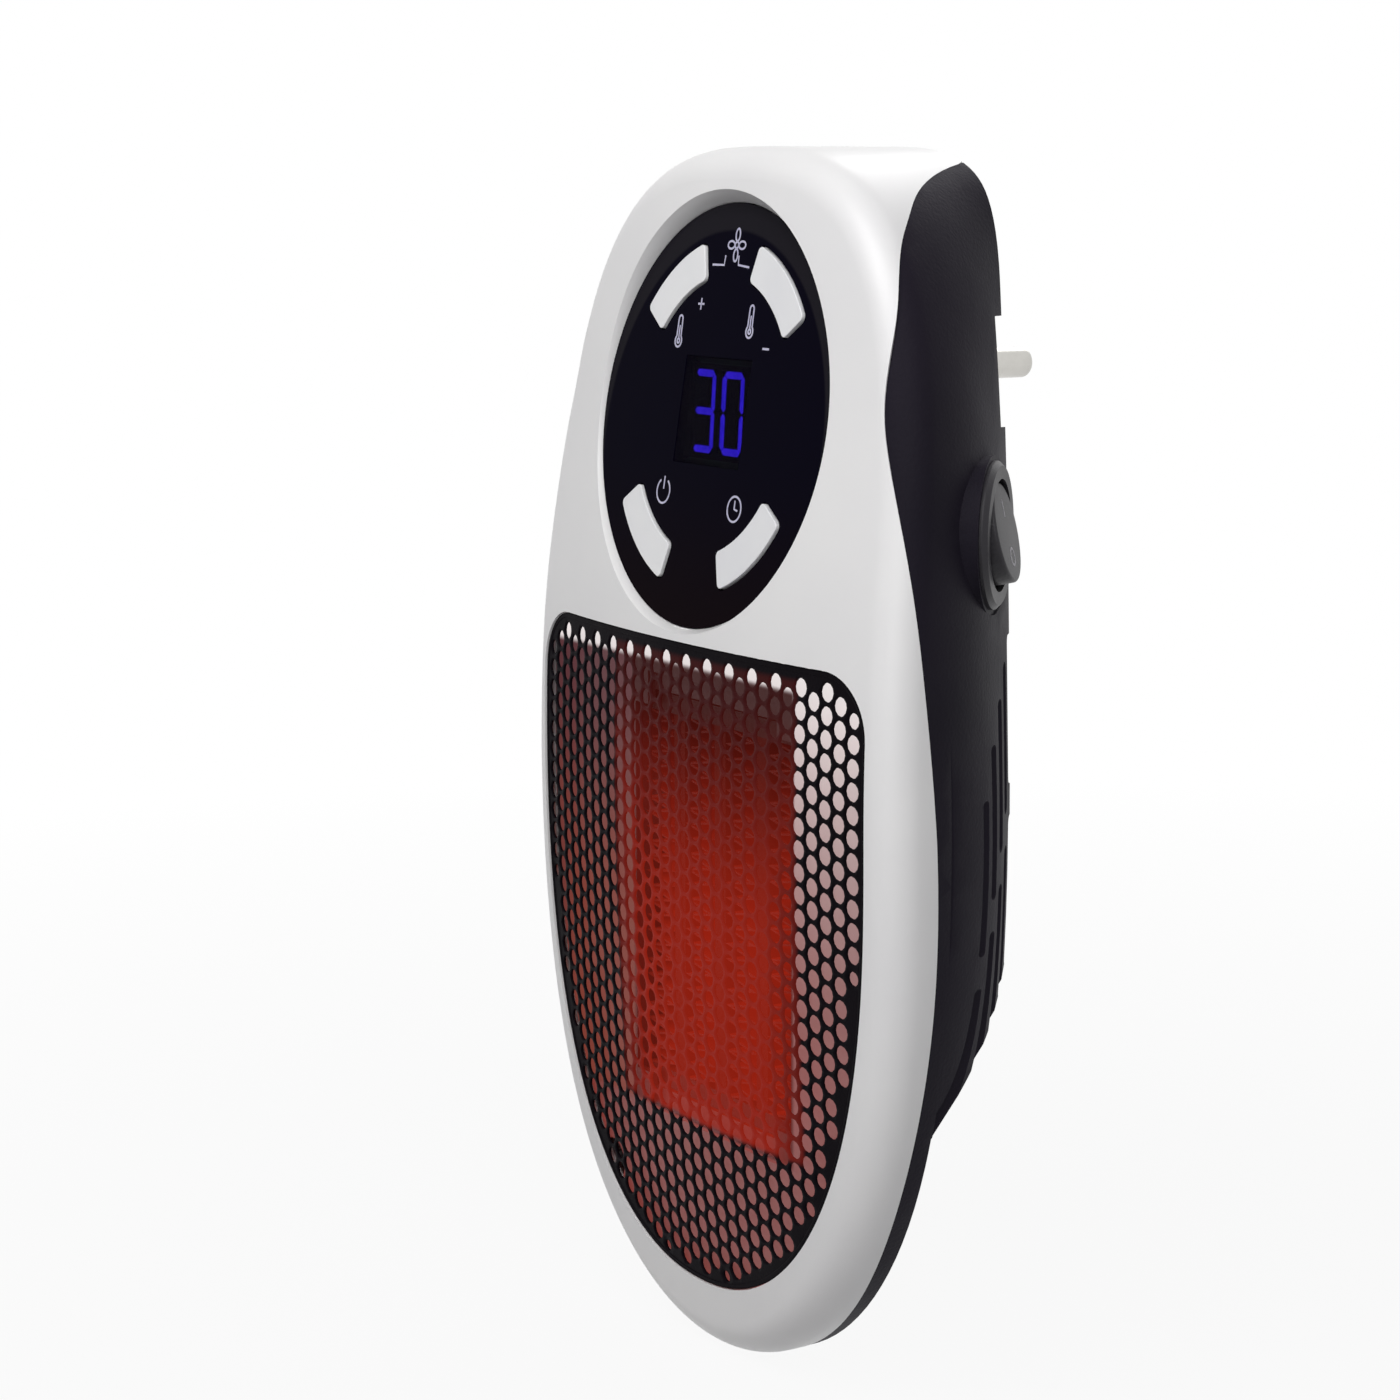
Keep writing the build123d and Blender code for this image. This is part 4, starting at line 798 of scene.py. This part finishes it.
points, faces = makeFrontShell(frontShell)
shellPiece = addPiece("frontHousing", points, faces, finish["whitePlastic"], "housing", ("front_shell",))
closeSeams(shellPiece.data, 0.01, (0.0, 0.0, -60.0))
shellPiece.data.shade_smooth()
shellPiece.data.set_sharp_from_angle(angle=math.radians(35.0))
thicken(shellPiece, frontShell["thickness"])
softenEdges(shellPiece, frontShell["edge"], 35.0)
print("front housing made:", len(shellPiece.data.polygons), "faces")

# Grille: a sheet on the front's own curve with round holes in a honeycomb
mesh = {"pitch": 3.4, "hole": 1.46, "smallest": 0.9, "inset": 0.15, "setBack": 0.4, "thickness": 0.4,
        "least": 0.25, "merge": 0.13, "sides": 12,
        "hem": 0.75, "hemRise": 0.1, "hemLoop": 480}


def makeGrille(facts):
    # each cell is a hexagon; a ring of points bounds it and a round ring, smaller near the outline, its hole
    loop = grilleLoop(facts["inset"])
    centreZ = frontShell["centres"][1]
    pitch, sides = facts["pitch"], facts["sides"]
    column, row = np.meshgrid(np.arange(-20, 21), np.arange(-22, 23), indexing="ij")
    x = column * pitch * math.sqrt(3) / 2
    z = centreZ + (row + 0.5 * (column % 2)) * pitch
    cells = np.column_stack((x.ravel(), z.ravel()))

    def reachInside(spots):
        bearing = np.arctan2(spots[:, 0], spots[:, 1] - centreZ)
        own = np.arctan2(loop[:, 0], loop[:, 1] - centreZ)
        order = np.argsort(own)
        size = np.hypot(loop[:, 0], loop[:, 1] - centreZ)[order]
        return np.interp(bearing, own[order], size, period=2 * math.pi) - np.hypot(spots[:, 0],
                                                                                   spots[:, 1] - centreZ)

    angle = np.arange(sides) * 2 * math.pi / sides
    hexagon = np.where(np.arange(sides) % 2 == 0, pitch / math.sqrt(3), pitch / 2)
    border = cells[:, None, :] + np.stack((hexagon * np.cos(angle), hexagon * np.sin(angle)), axis=-1)
    inside = reachInside(border.reshape(-1, 2)).reshape(len(cells), sides)
    keep = (inside > 0).any(axis=1)
    cells, border, inside = cells[keep], border[keep], inside[keep]
    away = np.sqrt(((cells[:, None, :] - loop[None, ::4, :]) ** 2).sum(axis=2)).min(axis=1)
    radius = np.minimum(away - facts["hem"] - facts["least"], facts["hole"])
    pierced = (reachInside(cells) > 0) & (radius > facts["smallest"])
    outside = np.argwhere(inside < 0)
    spots = border[outside[:, 0], outside[:, 1]]
    nearest = ((spots[:, None, :] - loop[None, :, :]) ** 2).sum(axis=2).argmin(axis=1)
    border[outside[:, 0], outside[:, 1]] = loop[nearest]
    ahead = border[pierced] - cells[pierced][:, None, :]
    ahead /= np.linalg.norm(ahead, axis=2)[:, :, None]
    ring = cells[pierced][:, None, :] + radius[pierced][:, None, None] * ahead
    middle = border[~pierced].mean(axis=1)
    flat = np.vstack((border.reshape(-1, 2), ring.reshape(-1, 2), middle))
    side = np.arange(sides)
    after = (side + 1) % sides
    whole = np.argwhere(pierced).ravel()[:, None] * sides
    ringStart = len(border) * sides + np.arange(len(ring))[:, None] * sides
    quads = np.stack((whole + side, whole + after, ringStart + after, ringStart + side),
                     axis=-1).reshape(-1, 4)
    blank = np.argwhere(~pierced).ravel()[:, None] * sides
    hub = np.broadcast_to(len(border) * sides + len(ring) * sides + np.arange(len(middle))[:, None],
                          (len(middle), sides))
    fans = np.stack((blank + side, blank + after, hub), axis=-1).reshape(-1, 3)
    points = np.column_stack((flat[:, 0], frontSurface(flat[:, 0], flat[:, 1]) + facts["setBack"],
                              flat[:, 1]))
    return points, quads.tolist() + fans.tolist(), len(ring)


points, faces, holeCount = makeGrille(mesh)
sheetPiece = addPiece("grilleSheet", points, faces, finish["blackSheet"], "housing", ("grille",))
closeSeams(sheetPiece.data, mesh["merge"], (0.0, 300.0, -90.0))
sheetPiece.data.shade_smooth()
sheetPiece.data.set_sharp_from_angle(angle=math.radians(35.0))
thicken(sheetPiece, mesh["thickness"])
print("grille made:", holeCount, "holes")


def makeHem(facts):
    # a narrow raised band along the sheet's outline, where the sheet was pressed flat
    outer = grilleLoop(facts["inset"], facts["hemLoop"])
    inner = byBearing(grilleLoop(facts["inset"] + facts["hem"]), frontShell["centres"][1],
                      np.arctan2(outer[:, 0], outer[:, 1] - frontShell["centres"][1]))
    rows = []
    for share, rise in ((0.0, -0.2), (0.0, 0.6), (0.15, 1.0), (0.85, 1.0), (1.0, 0.6), (1.0, -0.2)):
        spot = outer * (1 - share) + inner * share
        y = frontSurface(spot[:, 0], spot[:, 1]) + facts["setBack"] - facts["hemRise"] * rise
        rows.append(np.column_stack((spot[:, 0], y, spot[:, 1])))
    return np.vstack(rows), gridFaces(len(rows), len(outer), True)


points, faces = makeHem(mesh)
hemPiece = addPiece("grilleHem", points, faces, finish["blackSheet"], "housing")
closeSeams(hemPiece.data, 0.005, (0.0, 300.0, -90.0))
hemPiece.data.shade_smooth()
print("grille hem made")


# Marks: ribbons and filled shapes laid on a face; a place function turns them into the frame's millimetres
def ribbonMark(lines, width, place, rise, thick):
    # each line is (points, closed); its two sides stand half a width off, and it has a top and side walls
    points, faces = [], []
    for line, closed in lines:
        line = np.array(line, dtype=float)
        if closed:
            ahead = np.roll(line, -1, axis=0) - np.roll(line, 1, axis=0)
        else:
            ahead = np.gradient(line, axis=0)
        ahead /= np.linalg.norm(ahead, axis=1)[:, None]
        side = np.column_stack((-ahead[:, 1], ahead[:, 0])) * width / 2
        left, right = line + side, line - side
        rows = [place(right[:, 0], right[:, 1], rise - thick), place(right[:, 0], right[:, 1], rise),
                place(left[:, 0], left[:, 1], rise), place(left[:, 0], left[:, 1], rise - thick)]
        offset = sum(len(p) for p in points)
        points.extend(rows + rows[:1])
        faces.append(gridFaces(5, len(line), closed, offset))
        if not closed:
            size = len(line)
            for end in (0, size - 1):
                faces.append(np.array([[offset + k * size + end for k in range(4)]]))
    return np.vstack(points), [list(f) for group in faces for f in group]


def arc(centre, radius, first, last, count=28):
    # points on a circle; angles in degrees run clockwise from the top
    angle = np.radians(np.linspace(first, last, count))
    return np.column_stack((centre[0] + radius * np.sin(angle), centre[1] + radius * np.cos(angle)))


def circle(centre, radius, count=32):
    return (arc(centre, radius, 0.0, 360.0 * (count - 1) / count, count), True)


def addMark(name, lines, width, place, rise, body, material, thick=0.06):
    points, faces = ribbonMark(lines, width, place, rise, thick)
    piece = addPiece(name, points, faces, finish[material], body, smooth=False)
    work = bmesh.new()
    work.from_mesh(piece.data)
    bmesh.ops.remove_doubles(work, verts=work.verts, dist=0.001 * mm)
    bmesh.ops.recalc_face_normals(work, faces=work.faces)
    work.to_mesh(piece.data)
    work.free()
    return piece


marks = {"line": 0.32, "rise": 0.03, "hub": 0.5, "blade": 0.95, "bladeAway": 1.55, "bladeWidth": 0.62,
         "arm": 0.9, "fan": (0.9, 26.0), "power": (-11.2, -12.4), "clock": (9.9, -13.5),
         "warmer": (-12.6, 12.4), "cooler": (7.6, 14.6), "plus": (-7.2, 16.8), "minus": (12.8, 10.7)}


def fanIcon(centre):
    # a hub and four narrow loops about it
    lines = [circle(centre, marks["hub"], 16)]
    for quarter in range(4):
        turn = np.radians(quarter * 90.0)
        x, y = (arc((0.0, marks["bladeAway"]), marks["blade"], 0.0, 337.5, 16) * (marks["bladeWidth"],
                                                                                  1.0)).T
        blade = (centre[0] + x * math.cos(turn) + y * math.sin(turn),
                 centre[1] - x * math.sin(turn) + y * math.cos(turn))
        lines.append((np.column_stack(blade), True))
    return lines


def thermometerIcon(centre):
    x, y = centre
    stem = np.vstack((arc((x, y + 1.9), 0.55, -90.0, 90.0, 10), arc((x, y - 1.5), 0.95, 40.0, 320.0, 20)))
    return [(stem, True), circle((x, y - 1.5), 0.35, 14), ([(x, y - 1.1), (x, y + 0.9)], False)]


def levelStroke(centre):
    return ([(centre[0] - marks["arm"], centre[1]), (centre[0] + marks["arm"], centre[1])], False)


icons = {
    "iconFan": fanIcon(marks["fan"]),
    "iconFanLeft": [([(-5.4, 22.9), (-2.0, 22.9), (-1.9, 24.4)], False)],
    "iconFanRight": [([(1.9, 24.4), (2.0, 23.0), (5.2, 22.7)], False)],
    "iconWarmer": thermometerIcon(marks["warmer"]),
    "iconCooler": thermometerIcon(marks["cooler"]),
    "iconPlus": [levelStroke(marks["plus"]), ([(marks["plus"][0], marks["plus"][1] - marks["arm"]),
                                          (marks["plus"][0], marks["plus"][1] + marks["arm"])], False)],
    "iconMinus": [levelStroke(marks["minus"])],
    "iconPower": [(arc(marks["power"], 1.9, 32.0, 328.0, 36), False),
                  ([(marks["power"][0], marks["power"][1] + 0.3),
                    (marks["power"][0], marks["power"][1] + 2.3)], False)],
    "iconTimer": [circle(marks["clock"], 1.9, 40),
                  ([(marks["clock"][0], marks["clock"][1] + 1.3), marks["clock"],
                    (marks["clock"][0] + 0.95, marks["clock"][1] - 0.2)], False)],
}
for name, lines in icons.items():
    addMark(name, lines, marks["line"], panelPoint, marks["rise"], "housing", "printedMark")
print("icons made:", len(icons))

# Digits: lit bars in the recesses of the display, each a long hexagon
digits = {"width": 6.4, "height": 12.7, "bar": 1.1, "gap": 1.8, "rise": 0.6, "out": -1.03, "thick": 0.15,
          "split": 0.16, "lean": -0.15, "shown": (("leftDigit", -1, "abgcd"), ("rightDigit", 1, "abcdef"))}


def litBar(first, last, width):
    # a hexagon between two points, with its ends pointed
    first, last = np.array(first, float), np.array(last, float)
    ahead = (last - first) / np.linalg.norm(last - first)
    side = np.array((-ahead[1], ahead[0])) * width / 2
    inner = ahead * width / 2
    return np.array([first, first + inner + side, last - inner + side, last, last - inner - side,
                     first + inner - side])


def makeDigit(left, bars, facts):
    points, faces = [], []
    inset = facts["bar"] / 2
    x0, x1 = left + inset, left + facts["width"] - inset
    top, low = facts["rise"] + facts["height"] / 2 - inset, facts["rise"] - facts["height"] / 2 + inset
    middle, gap = facts["rise"], facts["split"]
    runs = {"a": ((x0 + gap, top), (x1 - gap, top)), "d": ((x0 + gap, low), (x1 - gap, low)),
            "g": ((x0 + gap, middle), (x1 - gap, middle)), "f": ((x0, middle + gap), (x0, top - gap)),
            "b": ((x1, middle + gap), (x1, top - gap)), "e": ((x0, low + gap), (x0, middle - gap)),
            "c": ((x1, low + gap), (x1, middle - gap))}
    for bar in bars:
        flat = litBar(*runs[bar], facts["bar"])
        flat[:, 0] += facts["lean"] * (flat[:, 1] - facts["rise"])
        offset = sum(len(p) for p in points)
        points.append(panelPoint(flat[:, 0], flat[:, 1], facts["out"]))
        points.append(panelPoint(flat[:, 0], flat[:, 1], facts["out"] - facts["thick"]))
        faces.append(list(range(offset, offset + 6)))
        faces.append(list(range(offset + 11, offset + 5, -1)))
        faces += [[offset + k, offset + 6 + k, offset + 6 + (k + 1) % 6,
                   offset + (k + 1) % 6] for k in range(6)]
    return np.vstack(points), faces


for name, side, bars in digits["shown"]:
    left = digits["gap"] / 2 if side > 0 else -digits["gap"] / 2 - digits["width"]
    points, faces = makeDigit(left, bars, digits)
    digitPiece = addPiece(name, points, faces, finish["digitLight"], "housing", smooth=False)
    closeSeams(digitPiece.data, 0.001)
print("digits made")

# Rocker marks: a bar at its upper end and a ring at its lower end, on the tilted face
rocker = {"place": (43.4, -12.0, -22.5), "turn": 43.0, "tilt": -12.0, "axis": -0.5, "face": 2.25,
          "line": 0.42,
          "barLow": 2.2, "barHigh": 4.8, "ring": (0.0, -3.7), "ringRadius": 1.25}


def rockerPoint(across, up, out):
    # millimetres on the rocker's level face, tilted about its axis and turned into the frame's
    across, up, out = np.broadcast_arrays(np.asarray(across, float), up, out)
    tilt, turn = math.radians(rocker["tilt"]), math.radians(rocker["turn"])
    rise = out - rocker["axis"]
    level = up * math.cos(tilt) - rise * math.sin(tilt)
    depth = up * math.sin(tilt) + rise * math.cos(tilt) + rocker["axis"]
    x0, y0, z0 = rocker["place"]
    x = x0 - across * math.sin(turn) + depth * math.cos(turn)
    y = y0 + across * math.cos(turn) + depth * math.sin(turn)
    return np.stack((x, y, z0 + level), axis=-1)


for name, lines in (("markOn", [([(0.0, rocker["barLow"]), (0.0, rocker["barHigh"])], False)]),
                    ("markOff", [circle(rocker["ring"], rocker["ringRadius"], 28)])):
    addMark(name, lines, rocker["line"], rockerPoint, rocker["face"] + 0.03, "rocker_button", "rockerMark")
print("rocker marks made")

# Floor, backdrop light and lamps
studio = {"floorZ": -153.5, "floorSize": 4.0, "floorNear": 0.93, "nearReach": 0.16, "farReach": 0.5,
          "world": 0.12,
          "lamps": (("keyLamp", (0.1, -0.4, 0.42), (0.0, -0.02, 0.0), 0.36, 1.9),
                    ("sideLamp", (0.52, -0.26, 0.36), (0.0, -0.02, 0.0), 0.36, 1.45),
                    ("lowLamp", (0.5, -0.62, -0.02), (0.0, -0.02, 0.0), 0.4, 0.7),
                    ("backLamp", (-0.5, 0.7, 0.6), (0.0, -0.02, -0.06), 0.6, 2.2))}


def seenDirectly(tree):
    # 1 for rays from the camera and for those that come off gloss or through glass
    path = tree.nodes.new("ShaderNodeLightPath").outputs
    first = calculate(tree, "MAXIMUM", path["Is Camera Ray"], path["Is Glossy Ray"])
    return calculate(tree, "MAXIMUM", first, path["Is Transmission Ray"])


def makeStudio(facts):
    scene = bpy.context.scene
    scene.view_settings.view_transform = "Standard"
    size = facts["floorSize"]
    mesh = bpy.data.meshes.new("floor")
    z = facts["floorZ"] * mm
    mesh.from_pydata([(-size, -size, z), (size, -size, z), (size, size, z), (-size, size, z)], [],
                     [(0, 1, 2, 3)])
    floor = bpy.data.objects.new("floor", mesh)
    scene.collection.objects.link(floor)
    material = bpy.data.materials.new("paleFloor")
    material.use_nodes = True
    surface = material.node_tree.nodes["Principled BSDF"]
    surface.inputs["Base Color"].default_value = (0.4, 0.4, 0.405, 1.0)
    surface.inputs["Roughness"].default_value = 0.9
    surface.inputs["Specular IOR Level"].default_value = 0.0
    nodes, links = material.node_tree.nodes, material.node_tree.links
    white, mix, reach = (nodes.new("ShaderNode" + kind) for kind in ("Emission", "MixShader", "VectorMath"))
    reach.operation = "LENGTH"
    links.new(objectPlace(material.node_tree), reach.inputs[0])
    near = spreadOver(material.node_tree, reach.outputs["Value"], facts["nearReach"], facts["farReach"])
    near.node.inputs["To Min"].default_value = facts["floorNear"]
    links.new(calculate(material.node_tree, "MULTIPLY", seenDirectly(material.node_tree), near),
              mix.inputs["Fac"])
    links.new(surface.outputs["BSDF"], mix.inputs[1])
    links.new(white.outputs["Emission"], mix.inputs[2])
    links.new(mix.outputs["Shader"], nodes["Material Output"].inputs["Surface"])
    mesh.materials.append(material)
    world = bpy.data.worlds.new("studio")
    scene.world = world
    world.use_nodes = True
    tree = world.node_tree
    soft, bright = tree.nodes["Background"], tree.nodes.new("ShaderNodeBackground")
    soft.inputs["Color"].default_value = (1.0, 1.0, 1.0, 1.0)
    soft.inputs["Strength"].default_value = facts["world"]
    bright.inputs["Color"].default_value = (1.0, 1.0, 1.0, 1.0)
    bright.inputs["Strength"].default_value = 1.0
    mix = tree.nodes.new("ShaderNodeMixShader")
    tree.links.new(seenDirectly(tree), mix.inputs["Fac"])
    tree.links.new(soft.outputs["Background"], mix.inputs[1])
    tree.links.new(bright.outputs["Background"], mix.inputs[2])
    tree.links.new(mix.outputs["Shader"], tree.nodes["World Output"].inputs["Surface"])
    for name, place, aim, size, power in facts["lamps"]:
        light = bpy.data.lights.new(name, "AREA")
        light.size = size
        light.energy = power
        lamp = bpy.data.objects.new(name, light)
        lamp.location = place
        lamp.rotation_euler = (Vector(place) - Vector(aim)).to_track_quat("Z", "Y").to_euler()
        scene.collection.objects.link(lamp)


makeStudio(studio)
print("studio made")
